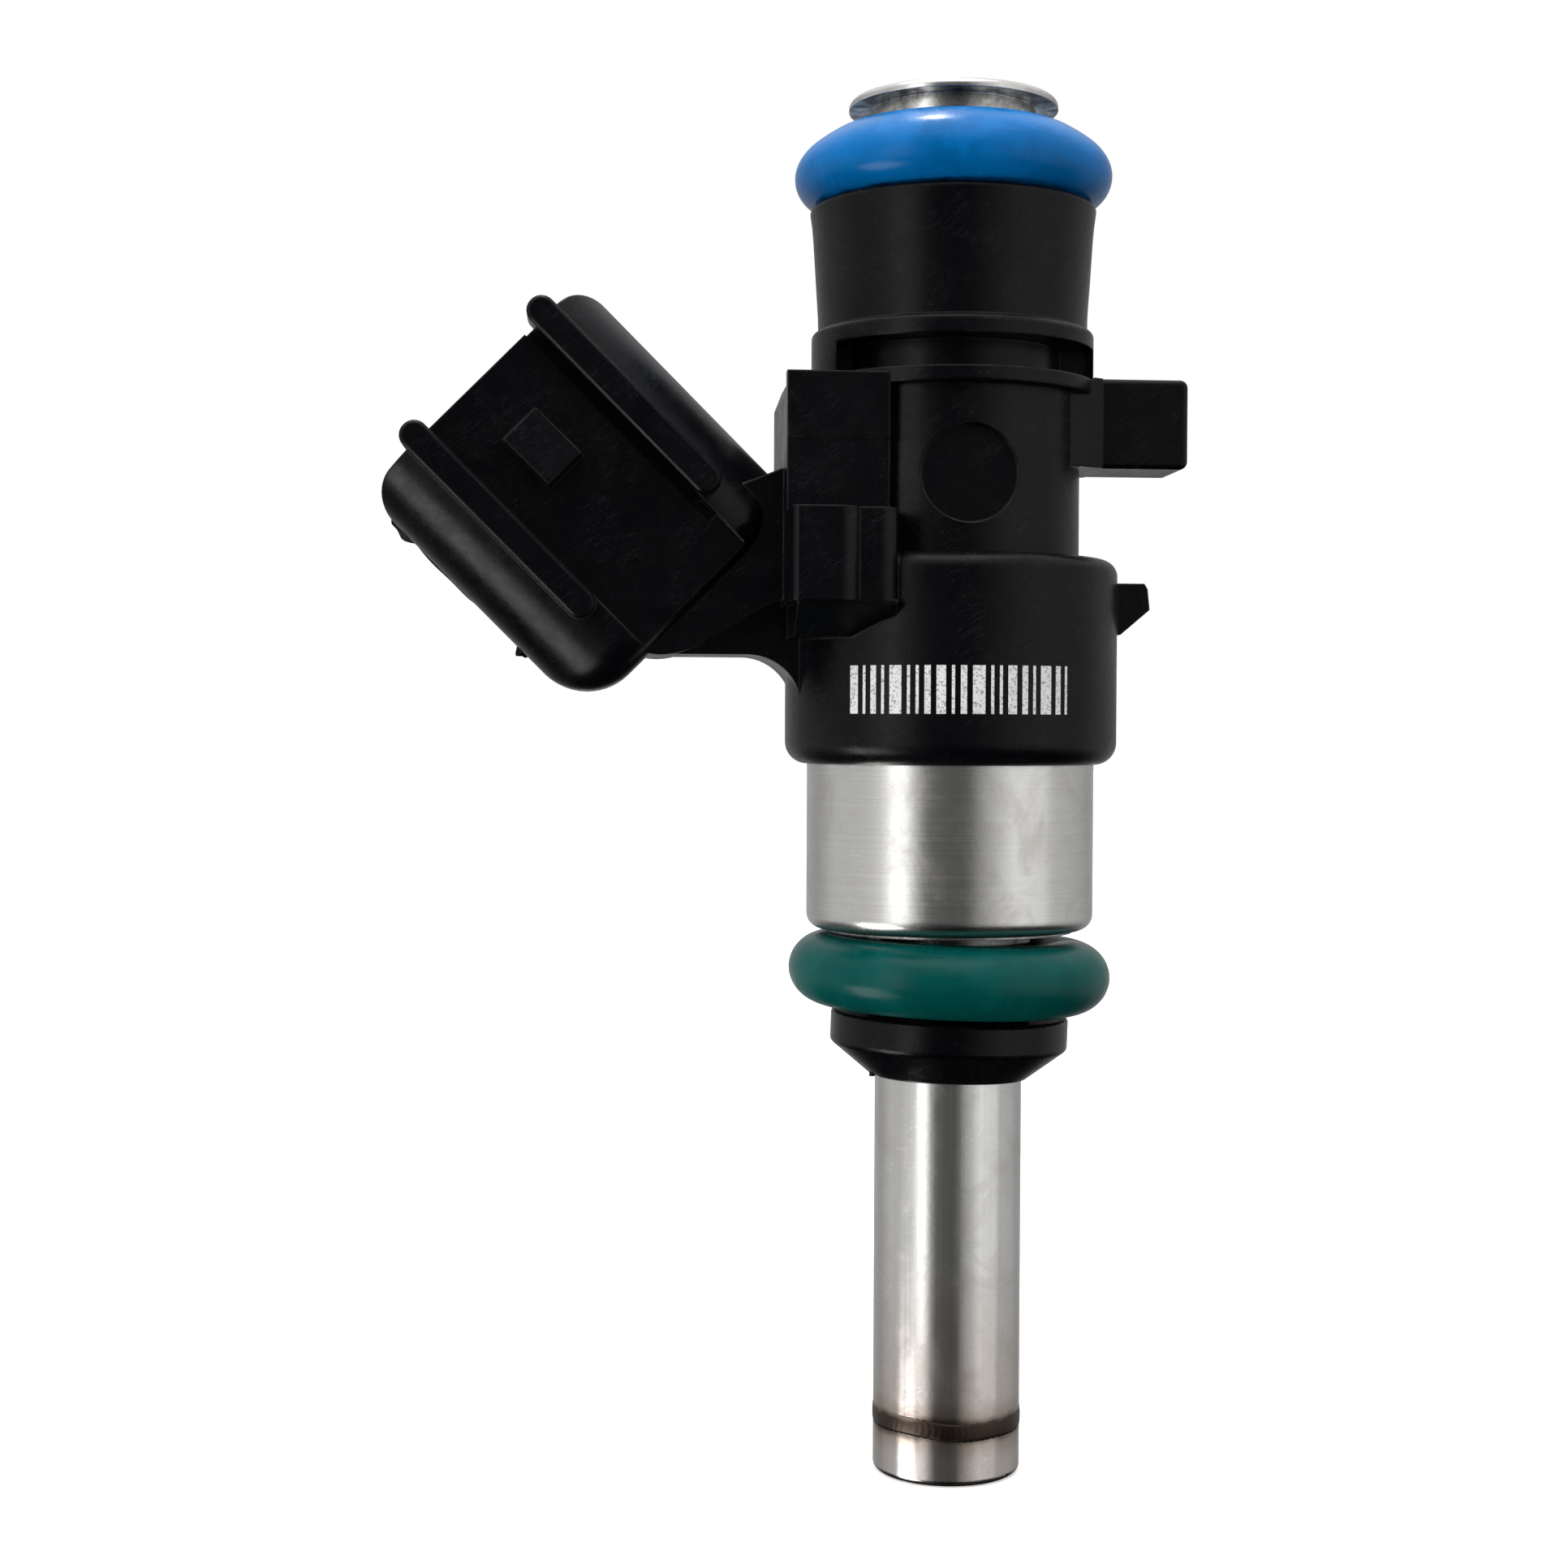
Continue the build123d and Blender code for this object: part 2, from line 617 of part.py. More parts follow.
def gusset(side):
    """The shallow slope under the knuckle, back down to the barrel."""
    out_y = side * (KNUCKLE_STEP_Y - 0.1)
    outline = Plane.YZ * Polyline(
        (0, KNUCKLE_BOTTOM_Z + 0.1),
        (out_y, KNUCKLE_BOTTOM_Z + 0.1),
        (out_y, KNUCKLE_BOTTOM_Z - 0.1),
        (side * GUSSET_FOOT_Y, KNUCKLE_BOTTOM_Z - GUSSET_DROP),
        (0, KNUCKLE_BOTTOM_Z - GUSSET_DROP),
        close=True,
    )
    width = KNUCKLE_X - SIDE_X - 0.4
    return Pos(SIDE_X + 0.3, 0, 0) * extrude(make_face(outline), width)


def neck():
    """The neck between the connector's root and the barrel, over a thinner web."""
    arc_x = NECK_FOOT_X - NECK_ARC_R
    arc_z = NECK_BOTTOM_Z - NECK_ARC_R
    slope_z = NECK_TOP_Z - NECK_SLOPE_DROP
    roof = [(-5, NECK_TOP_Z), (NECK_TOP_X, NECK_TOP_Z), (NECK_SLOPE_X, slope_z)]
    web = Plane.XZ * (
        Polyline((NECK_FOOT_X, NECK_FOOT_Z), (-5, NECK_FOOT_Z), *roof)
        + Polyline(roof[-1], (-15.6, NECK_BOTTOM_Z), (arc_x, NECK_BOTTOM_Z))
        + CenterArc((arc_x, arc_z), NECK_ARC_R, 0, 90)
        + Line((NECK_FOOT_X, arc_z), (NECK_FOOT_X, NECK_FOOT_Z))
    )
    low_z = NECK_BOTTOM_Z + 0.25
    rise_z = NECK_BOTTOM_Z + 2.4
    thick = Plane.XZ * (
        Polyline((-5, rise_z), *roof, (-14.8, low_z))
        + Spline((-14.8, low_z), (-12.4, low_z - 0.15), (-10.2, low_z + 1.05), (-8.0, rise_z))
        + Line((-8.0, rise_z), (-5, rise_z))
    )
    low = extrude(make_face(web.edges()), WEB_HALF_Y, both=True)
    high = extrude(make_face(thick.edges()), NECK_HALF_Y, both=True)
    return low + high


def shell():
    """The connector's outer form: an oblong block, rounded at its mouth and root."""
    section = extrude(RectangleRounded(SHELL_W, SHELL_T, SHELL_CORNER), SHELL_LENGTH)
    plan = Pos(0, 0, SHELL_LENGTH / 2) * Box(SHELL_W, SHELL_T, SHELL_LENGTH)
    upright = plan.edges().filter_by(Axis.Y)
    mouth = upright.group_by(Axis.Z)[0]
    plan = fillet(mouth, MOUTH_ROUND)
    root = plan.edges().filter_by(Axis.Y).group_by(Axis.Z)[-1].sort_by(Axis.X)
    plan = fillet(root[:1], ROOT_ROUND_LOW)
    root = plan.edges().filter_by(Axis.Y).group_by(Axis.Z)[-1].sort_by(Axis.X)
    plan = fillet(root[-1:], ROOT_ROUND_HIGH)
    body = section & plan
    end = body.faces().sort_by(Axis.Z)[-1]
    body = fillet(end.edges(), ROOT_EDGE)
    return MOUTH * body


def rib(side_x, side_y):
    """One guide rib along the connector, with round ends and soft edges."""
    width = RIB_OUTER - RIB_INNER
    height = RIB_TOP - SHELL_T / 2 + 1
    bar = Box(width, height, RIB_LENGTH)
    bar = fillet(bar.edges().filter_by(Axis.Y), width / 2 - 0.02)
    bar = chamfer(bar.faces().sort_by(Axis.Y)[-1].edges(), 0.12)
    middle = RIB_LENGTH / 2 - RIB_OVERHANG
    centre_x = RIB_SHIFT + side_x * (RIB_INNER + width / 2)
    placed = Pos(centre_x, RIB_TOP - height / 2, middle) * bar
    if side_y < 0:
        placed = mirror(placed, Plane.XZ)
    return MOUTH * placed


def latch_boss(side_y):
    """The catch that holds the plug, sloping down towards the mouth."""
    top = RIB_TOP - 0.15
    base = SHELL_T / 2 - CHANNEL_DEPTH - 0.2
    outline = Plane.YZ * Polyline(
        (base, LATCH_START),
        (top - 0.4, LATCH_START + 0.1),
        (top, LATCH_END - 0.1),
        (top - 0.1, LATCH_END),
        (base, LATCH_END),
        close=True,
    )
    wedge = extrude(make_face(outline), LATCH_HALF_W, both=True)
    if side_y < 0:
        wedge = mirror(wedge, Plane.XZ)
    return MOUTH * Pos(LATCH_SHIFT, 0, 0) * wedge


def connector():
    """The plug housing with its channels, guide ribs and catches."""
    body = shell()
    length = SHELL_LENGTH + 1
    floor_y = SHELL_T / 2 - CHANNEL_DEPTH
    for side_y in (1, -1):
        room = Pos(RIB_SHIFT, side_y * (floor_y + 1), length / 2) * Box(2 * RIB_INNER, 2, length)
        body -= MOUTH * room
        slot_x = RIB_SHIFT + RIB_INNER - SLOT_W / 2
        slot_y = side_y * (floor_y + 1 - SLOT_DEPTH)
        body -= MOUTH * Pos(slot_x, slot_y, RIB_LENGTH / 2) * Box(SLOT_W, 2, RIB_LENGTH)
        body += latch_boss(side_y)
        for side_x in (1, -1):
            body += rib(side_x, side_y)
    return body


def socket():
    """The room in the connector that takes the plug."""
    section = MOUTH * Pos(0, 0, -1) * RectangleRounded(SOCKET_W, SOCKET_T, SOCKET_CORNER)
    return extrude(section, SOCKET_DEPTH + 1)


def body_overmould():
    """The whole moulded body, with its bores, groove, socket and dimple cut."""
    body = barrel_and_collar() + upper_block() + knuckle() + neck() + connector()
    body += locating_tab() + side_hook()
    body -= disc(INLET_R + 0.01, BARREL_BOTTOM_Z - 1, COLLAR_TOP_Z + 1)
    body -= disc(POT_R + 0.01, BARREL_BOTTOM_Z - 1, POT_TOP_Z + 0.01)
    body -= clip_groove()
    body -= socket()
    body -= Pos(0, DIMPLE_FLOOR_Y - 1, DIMPLE_Z) * Rot(90, 0, 0) * Cylinder(DIMPLE_R, 2)
    return body - terminal_pin_upper() - terminal_pin_lower()


PARTS = [
    body_overmould,
    upper_o_ring,
    lower_o_ring,
    inlet_tube,
    nozzle_tube,
    support_ring,
    magnet_pot,
    flux_washer,
    coil_bobbin,
    coil_winding,
    coil_leads,
    terminal_pin_upper,
    terminal_pin_lower,
    pole_core,
    adjusting_sleeve,
    return_spring,
    armature,
    armature_stop_ring,
    needle_tube,
    valve_ball,
    seat_body,
    orifice_disc,
    filter_frame,
    filter_mesh,
    filter_ring,
]

os.makedirs("parts", exist_ok=True)
for make in PARTS:
    export_step(make(), f"parts/{make.__name__}.step")
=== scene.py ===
"""Finishes, small made pieces and studio for a port fuel injector.

The measured parts come from the packed frame, in metres, with the spray tip at the origin and the
fuel inlet up. The connector leans towards -X, and -Y is the printed front.
"""

import json
import math

import bpy
from bpy.props import FloatProperty, FloatVectorProperty, IntProperty, PointerProperty
from mathutils import Matrix, Vector


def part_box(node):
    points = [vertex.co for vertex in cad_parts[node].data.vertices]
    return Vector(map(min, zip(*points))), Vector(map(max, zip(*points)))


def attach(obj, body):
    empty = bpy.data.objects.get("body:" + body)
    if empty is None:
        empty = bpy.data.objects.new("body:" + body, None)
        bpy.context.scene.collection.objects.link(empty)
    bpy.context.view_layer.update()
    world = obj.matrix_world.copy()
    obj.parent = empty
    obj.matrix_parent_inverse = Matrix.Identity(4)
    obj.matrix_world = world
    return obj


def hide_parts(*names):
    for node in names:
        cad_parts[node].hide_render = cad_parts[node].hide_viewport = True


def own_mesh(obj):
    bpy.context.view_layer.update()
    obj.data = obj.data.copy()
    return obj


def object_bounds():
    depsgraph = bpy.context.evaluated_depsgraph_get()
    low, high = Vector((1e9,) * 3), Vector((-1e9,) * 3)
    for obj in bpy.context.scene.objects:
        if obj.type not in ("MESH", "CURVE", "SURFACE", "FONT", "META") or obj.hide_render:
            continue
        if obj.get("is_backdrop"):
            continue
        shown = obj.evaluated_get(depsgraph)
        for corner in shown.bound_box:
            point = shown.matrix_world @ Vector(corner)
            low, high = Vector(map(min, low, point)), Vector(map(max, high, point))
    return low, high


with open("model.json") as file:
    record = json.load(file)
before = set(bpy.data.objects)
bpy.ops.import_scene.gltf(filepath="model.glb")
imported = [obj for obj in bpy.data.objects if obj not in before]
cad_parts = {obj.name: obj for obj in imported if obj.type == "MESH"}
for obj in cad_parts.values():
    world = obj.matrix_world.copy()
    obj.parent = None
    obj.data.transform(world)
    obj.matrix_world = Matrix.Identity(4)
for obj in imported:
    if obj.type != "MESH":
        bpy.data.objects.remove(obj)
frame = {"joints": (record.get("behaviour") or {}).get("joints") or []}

bl_info = {
    "name": "Fuel injector finishes",
    "version": (1, 0, 0),
    "blender": (4, 5, 0),
    "location": "View3D > Sidebar > Injector",
    "description": "Gives the injector its plastics, steels, rubbers, marks and studio",
    "category": "Object",
}

MM = 0.001

# Colours of dust on plastic, of painted shade on rubber and of heat tint, and the share of each channel
# that a stain lets through
PLASTIC_DUST = (0.014, 0.014, 0.013)
RUBBER_SHADE = (0.002, 0.005, 0.007)
METAL_STAIN = (0.62, 0.57, 0.5)
WARM = (0.42, 0.32, 0.27)
STRAW = (0.3, 0.23, 0.17)

# Directions of tool marks: closely spaced along an axis with a large number
TURNED = (0.12, 0.12, 11)
DRAWN = (7, 7, 0.05)


# Settings

def colour_setting(name, description, default):
    """A colour property with the usual limits."""
    return FloatVectorProperty(
        name=name, description=description, subtype="COLOR", min=0, max=1, default=default
    )


def share_setting(name, description, default):
    """A property that runs from none to full."""
    return FloatProperty(
        name=name, description=description, subtype="FACTOR", min=0, max=1, default=default
    )


def length_setting(name, description, default):
    """A length property in metres."""
    return FloatProperty(
        name=name, description=description, unit="LENGTH", subtype="DISTANCE", precision=5, default=default
    )


def place_setting(name, description, default):
    """A point of the part's frame, in metres."""
    return FloatVectorProperty(
        name=name, description=description, subtype="XYZ", unit="LENGTH", precision=5, default=default
    )


def power_setting(name, description, default):
    """The strength of one light, in watts."""
    return FloatProperty(name=name, description=description, unit="POWER", min=0, default=default)


def number_setting(name, description, default):
    """A plain property that is never negative."""
    return FloatProperty(name=name, description=description, min=0, default=default)


class PlasticSettings(bpy.types.PropertyGroup):
    """The moulded parts."""

    colour: colour_setting("Colour", "Colour of the black plastic", (0.0013, 0.0013, 0.0022))
    worn_colour: colour_setting("Worn colour", "Colour where edges are rubbed", (0.06, 0.06, 0.066))
    inner_colour: colour_setting("Inner", "Colour of the spool and strainer cage", (0.045, 0.05, 0.05))
    worn_inner_colour: colour_setting("Worn inner", "Colour of their rubbed edges", (0.16, 0.16, 0.155))
    roughness: share_setting("Roughness", "Roughness of the moulded surface", 0.32)
    grain: length_setting("Grain", "Size of the moulded grain", 0.11 * MM)
    edge: length_setting("Edge", "Width of the soft moulded edges", 0.14 * MM)


class SealSettings(bpy.types.PropertyGroup):
    """The rubber rings."""

    rail_colour: colour_setting("Rail seal", "Colour of the upper ring", (0.0002, 0.18, 0.54))
    manifold_colour: colour_setting("Manifold seal", "Colour of the lower ring", (0.0003, 0.092, 0.082))
    roughness: share_setting("Roughness", "Roughness of the rubber", 0.22)
    flash: length_setting("Flash", "Height of the moulding line around each ring", 0.035 * MM)


class SteelSettings(bpy.types.PropertyGroup):
    """The steel parts."""

    colour: colour_setting("Steel", "Colour of the bare stainless steel", (0.6, 0.595, 0.58))
    magnet_colour: colour_setting("Magnet steel", "Colour of the magnetic steel", (0.5, 0.505, 0.52))
    chrome_colour: colour_setting("Chrome", "Colour of the ground hard chrome", (0.74, 0.74, 0.76))
    scorch_colour: colour_setting("Scorch", "Colour of the burnt oxide at the weld", (0.05, 0.036, 0.028))
    roughness: share_setting("Roughness", "Roughness of the brushed steel", 0.22)
    weld_height: length_setting("Weld height", "Height of the weld above the tip", 2.55 * MM)
    weld_width: length_setting("Weld width", "Width of the weld bead", 0.85 * MM)


class CopperSettings(bpy.types.PropertyGroup):
    """The winding, its leads and the contacts."""

    enamel_colour: colour_setting("Enamel", "Colour of the enamelled copper wire", (0.5, 0.16, 0.05))
    tin_colour: colour_setting("Tin", "Colour of the tinned contacts", (0.68, 0.66, 0.62))
    brass_colour: colour_setting("Brass", "Colour of the bare brass parts", (0.72, 0.5, 0.2))
    turns: IntProperty(name="Turns", description="Turns of wire in one layer", min=8, max=80, default=44)


class SpringSettings(bpy.types.PropertyGroup):
    """The return spring."""

    colour: colour_setting("Wire", "Colour of the spring's wire", (0.46, 0.45, 0.44))
    turns: IntProperty(name="Turns", description="Turns, with the closed ends", min=3, max=30, default=10)


class StrainerSettings(bpy.types.PropertyGroup):
    """The inlet strainer's gauze."""

    colour: colour_setting("Gauze", "Colour of the woven threads", (0.5, 0.49, 0.42))
    pitch: length_setting("Pitch", "Distance between threads", 0.3 * MM)
    thread: length_setting("Thread", "Thickness of one thread", 0.09 * MM)


class MarkSettings(bpy.types.PropertyGroup):
    """The printed mark and the moulding marks."""

    ink_colour: colour_setting("Ink", "Colour of the printed bars", (0.92, 0.92, 0.9))
    height: length_setting("Height", "Height of the printed bars", 2.1 * MM)
    width: length_setting("Width", "Width of the row of bars", 10.2 * MM)
    level: length_setting("Level", "Height of the bars' middle above the tip", 35.85 * MM)
    shift: length_setting("Shift", "Distance of the row's middle from the barrel's, to the left", 0.65 * MM)
    radius: length_setting("Radius", "Radius of the barrel under the print", 7.6 * MM)
    film: length_setting("Film", "Thickness of the ink", 0.012 * MM)
    thin_colour: colour_setting("Thin ink", "Colour where the plastic shows through", (0.03, 0.03, 0.033))
    flash_start: place_setting(
        "Flash start", "Where the lower parting line meets the mouth", (-26.34 * MM, 0, 44.33 * MM)
    )


class StudioSettings(bpy.types.PropertyGroup):
    """The floor, the lights and the camera."""

    floor_colour: colour_setting("Floor", "Colour of the floor", (0.92, 0.92, 0.92))
    floor_glow: number_setting("Floor glow", "Light of the lit floor panel", 0.35)
    backdrop: number_setting("Backdrop", "Brightness behind the part", 1.0)
    key_power: power_setting("Key", "Strength of the left light", 0.05)
    fill_power: power_setting("Fill", "Strength of the right light", 0.03)
    top_power: power_setting("Top", "Strength of the top light", 0.25)
    lamp_power: power_setting("Lamp", "Strength of the small lamp", 0.14)
    low_power: power_setting("Low", "Strength of the low left light", 0.2)
    lens: FloatProperty(name="Lens", description="Focal length in mm", unit="CAMERA", default=56.3)
    camera_place: place_setting("Camera", "Where the camera stands", (-0.0167, -0.112, 0.0341))
    camera_target: place_setting("Target", "What the camera looks at", (-0.00765, 0, 0.0316))
    camera_roll: FloatProperty(
        name="Roll", description="Tilt of the camera", subtype="ANGLE", default=math.radians(0.25)
    )


# Node helpers

def add(tree, kind, **values):
    """A new node with some of its settings."""
    node = tree.nodes.new(kind)
    for name, value in values.items():
        setattr(node, name, value)
    return node


def feed(tree, value, socket):
    """Connect a socket, or set a plain value."""
    if isinstance(value, bpy.types.NodeSocket):
        tree.links.new(value, socket)
    else:
        socket.default_value = value


def compute(tree, operation, *terms, clamp=False):
    """A Math node on sockets or numbers."""
    node = add(tree, "ShaderNodeMath", operation=operation, use_clamp=clamp)
    for slot, term in enumerate(terms):
        feed(tree, term, node.inputs[slot])
    return node.outputs[0]


def vary(tree, base, *swings):
    """A base value plus each mask times its swing, kept between 0 and 1."""
    for mask, swing in swings:
        base = compute(tree, "MULTIPLY_ADD", mask, swing, base, clamp=True)
    return base


def span(tree, value, low, high, new_low=0.0, new_high=1.0):
    """A smooth, clamped change of range."""
    node = add(tree, "ShaderNodeMapRange", interpolation_type="SMOOTHSTEP", clamp=True)
    for slot, term in enumerate((value, low, high, new_low, new_high)):
        feed(tree, term, node.inputs[slot])
    return node.outputs[0]


def blend(tree, share, first, second):
    """A mix of two colours."""
    node = add(tree, "ShaderNodeMix", data_type="RGBA")
    feed(tree, share, node.inputs[0])
    for value, socket in ((first, node.inputs[6]), (second, node.inputs[7])):
        feed(tree, value if isinstance(value, bpy.types.NodeSocket) else (*value, 1), socket)
    return node.outputs[2]


def scaled(colour, factor):
    """The colour made lighter or darker, up to white."""
    return [min(1, factor * channel) for channel in colour]


def place_in_mm(tree, stretch=(1, 1, 1)):
    """The point on the part in millimetres, stretched along its axes."""
    where = add(tree, "ShaderNodeTexCoord").outputs["Object"]
    scale = add(tree, "ShaderNodeVectorMath", operation="MULTIPLY")
    tree.links.new(where, scale.inputs[0])
    if isinstance(stretch, bpy.types.NodeSocket):
        to_mm = add(tree, "ShaderNodeVectorMath", operation="SCALE")
        feed(tree, stretch, to_mm.inputs[0])
        to_mm.inputs["Scale"].default_value = 1 / MM
        tree.links.new(to_mm.outputs[0], scale.inputs[1])
    else:
        scale.inputs[1].default_value = [share / MM for share in stretch]
    return scale.outputs[0]


def noise(tree, where, scale, detail=3.0, rough=0.55, warp=0.0):
    """A noise between 0 and 1."""
    node = add(tree, "ShaderNodeTexNoise")
    tree.links.new(where, node.inputs["Vector"])
    feed(tree, scale, node.inputs["Scale"])
    node.inputs["Detail"].default_value = detail
    node.inputs["Roughness"].default_value = rough
    node.inputs["Distortion"].default_value = warp
    return node.outputs["Fac"]


def make_group(name, inputs, outputs):
    """An empty effect group, with its named inputs and outputs."""
    group = bpy.data.node_groups.new(name, "ShaderNodeTree")
    for title, kind, default in inputs:
        socket = group.interface.new_socket(title, in_out="INPUT", socket_type="NodeSocket" + kind)
        socket.default_value = default
    for title, kind in outputs:
        group.interface.new_socket(title, in_out="OUTPUT", socket_type="NodeSocket" + kind)
    return group, add(group, "NodeGroupInput").outputs, add(group, "NodeGroupOutput").inputs


def effect(tree, name, **values):
    """One use of an effect group, which is built on its first use, with its own values."""
    group = bpy.data.node_groups.get(name)
    if group is None:
        group = BUILDERS[name]()
        lay_out(group)
    node = add(tree, "ShaderNodeGroup", node_tree=group)
    for title, value in values.items():
        feed(tree, value, node.inputs[title.replace("_", " ").capitalize()])
    return node.outputs


def lay_out(tree):
    """Set the nodes out in columns, from the output back."""
    wide, tall, most = 240, 260, 30
    column = {node.name: 0 for node in tree.nodes}
    for _ in range(len(tree.nodes)):
        for link in tree.links:
            reach = column[link.to_node.name] + 1
            column[link.from_node.name] = max(column[link.from_node.name], min(reach, most))
    filled = {}
    for node in tree.nodes:
        place = column[node.name]
        node.location = (-wide * place, -tall * filled.get(place, 0))
        filled[place] = filled.get(place, 0) + 1


# Effects shared by several finishes

def build_grain():
    """Moulded grain, with the slow flow of the melt under it."""
    group, given, result = make_group(
        "moulded_grain",
        [("Size", "Float", 0.1), ("Flow", "Float", 0.5)],
        [("Height", "Float"), ("Tone", "Float")],
    )
    where = place_in_mm(group)
    fine = noise(group, where, compute(group, "DIVIDE", 1.0, given["Size"]), 2.0)
    flow = noise(group, place_in_mm(group, (0.35, 0.35, 0.12)), 1.0, 4.0, 0.6, 0.6)
    tone = compute(group, "MULTIPLY_ADD", compute(group, "SUBTRACT", flow, 0.5), given["Flow"], 0.5)
    feed(group, fine, result["Height"])
    feed(group, tone, result["Tone"])
    return group


def build_edges():
    """Rounded edge normals, and a broken mask of rubbed edges."""
    group, given, result = make_group(
        "edge_wear",
        [("Width", "Float", 0.1), ("Amount", "Float", 0.5)],
        [("Mask", "Float"), ("Normal", "Vector")],
    )
    rounded = add(group, "ShaderNodeBevel", samples=6)
    feed(group, compute(group, "MULTIPLY", given["Width"], MM), rounded.inputs["Radius"])
    along = add(group, "ShaderNodeVectorMath", operation="DOT_PRODUCT")
    group.links.new(rounded.outputs[0], along.inputs[0])
    group.links.new(add(group, "ShaderNodeNewGeometry").outputs["Normal"], along.inputs[1])
    turn = compute(group, "SUBTRACT", 1.0, along.outputs["Value"])
    patchy = span(group, noise(group, place_in_mm(group), 0.55, 5.0, 0.7), 0.4, 0.68)
    rubbed = compute(group, "MULTIPLY", span(group, turn, 0.02, 0.22), patchy)
    feed(group, compute(group, "MULTIPLY", rubbed, given["Amount"], clamp=True), result["Mask"])
    feed(group, rounded.outputs[0], result["Normal"])
    return group


def build_brushing():
    """Long parallel marks of brushing, turning or drawing."""
    group, given, result = make_group(
        "metal_brushing",
        [("Stretch", "Vector", (1, 1, 1)), ("Contrast", "Float", 0.5)],
        [("Height", "Float"), ("Tone", "Float")],
    )
    where = place_in_mm(group, given["Stretch"])
    fine = noise(group, where, 1.0, 4.0, 0.75)
    coarse = noise(group, where, 0.22, 3.0, 0.6)
    both = compute(group, "MULTIPLY_ADD", fine, 0.6, compute(group, "MULTIPLY", coarse, 0.4))
    tone = compute(group, "MULTIPLY_ADD", compute(group, "SUBTRACT", both, 0.5), given["Contrast"], 0.5)
    feed(group, both, result["Height"])
    feed(group, tone, result["Tone"])
    return group


def build_smudges():
    """Soft patches left by handling."""
    group, given, result = make_group(
        "handling_smudges",
        [("Size", "Float", 4.0), ("Amount", "Float", 0.5)],
        [("Mask", "Float")],
    )
    rate = compute(group, "DIVIDE", 1.0, given["Size"])
    patch = noise(group, place_in_mm(group), rate, 5.0, 0.65, 0.8)
    soft = span(group, patch, 0.42, 0.72)
    feed(group, compute(group, "MULTIPLY", soft, given["Amount"]), result["Mask"])
    return group


def build_scratches():
    """Thin stray scratches and scuffs in two directions."""
    group, given, result = make_group(
        "stray_scratches",
        [("Density", "Float", 0.5)],
        [("Mask", "Float")],
    )
    # The turn of the scratches, how they are stretched, and how closely their patches lie
    directions = (
        ((0.3, 0.5, 0.9), (0.5, 0.5, 9), 0.46),
        ((1.1, 0.2, 2.2), (8, 0.6, 0.5), 0.62),
    )
    marks = []
    for tilt, stretch, spread in directions:
        turn = add(group, "ShaderNodeVectorRotate", rotation_type="EULER_XYZ")
        group.links.new(place_in_mm(group), turn.inputs["Vector"])
        turn.inputs["Rotation"].default_value = tilt
        scale = add(group, "ShaderNodeVectorMath", operation="MULTIPLY")
        group.links.new(turn.outputs[0], scale.inputs[0])
        scale.inputs[1].default_value = stretch
        line = noise(group, scale.outputs[0], 1.2, 2.0, 0.5)
        thin = compute(group, "ABSOLUTE", compute(group, "SUBTRACT", line, 0.5))
        here = span(group, noise(group, place_in_mm(group), spread, 2.0), 0.5, 0.62)
        marks.append(compute(group, "MULTIPLY", span(group, thin, 0.012, 0.0), here))
    both = compute(group, "MAXIMUM", *marks)
    feed(group, compute(group, "MULTIPLY", both, given["Density"], clamp=True), result["Mask"])
    return group


def build_dust_and_shade():
    """A mask of where surfaces meet: dust on the plastic, painted shade on the rubber and the metal."""
    group, given, result = make_group(
        "settled_dust_and_shade",
        [("Reach", "Float", 0.8), ("Amount", "Float", 0.5)],
        [("Mask", "Float")],
    )
    corner = add(group, "ShaderNodeAmbientOcclusion", samples=6)
    feed(group, compute(group, "MULTIPLY", given["Reach"], MM), corner.inputs["Distance"])
    close = span(group, corner.outputs["AO"], 0.75, 0.25)
    patchy = span(group, noise(group, place_in_mm(group), 0.9, 5.0, 0.7), 0.35, 0.7)
    mask = compute(group, "MULTIPLY", close, patchy)
    feed(group, compute(group, "MULTIPLY", mask, given["Amount"], clamp=True), result["Mask"])
    return group


BUILDERS = {
    "moulded_grain": build_grain,
    "edge_wear": build_edges,
    "metal_brushing": build_brushing,
    "handling_smudges": build_smudges,
    "stray_scratches": build_scratches,
    "settled_dust_and_shade": build_dust_and_shade,
}


# Finishes

def new_finish(name, **constants):
    """A material with its shader, and the constants set on the shader."""
    material = bpy.data.materials.new(name)
    material.use_nodes = True
    tree = material.node_tree
    shader = tree.nodes["Principled BSDF"]
    for title, value in constants.items():
        shader.inputs[title.replace("_", " ")].default_value = value
    return material, tree, shader.inputs


def bump(tree, height, strength, depth, normal=None):
    """A small relief, over a rounded normal if one is given."""
    node = add(tree, "ShaderNodeBump")
    node.inputs["Strength"].default_value = strength
    node.inputs["Distance"].default_value = depth
    tree.links.new(height, node.inputs["Height"])
    if normal is not None:
        tree.links.new(normal, node.inputs["Normal"])
    return node.outputs[0]


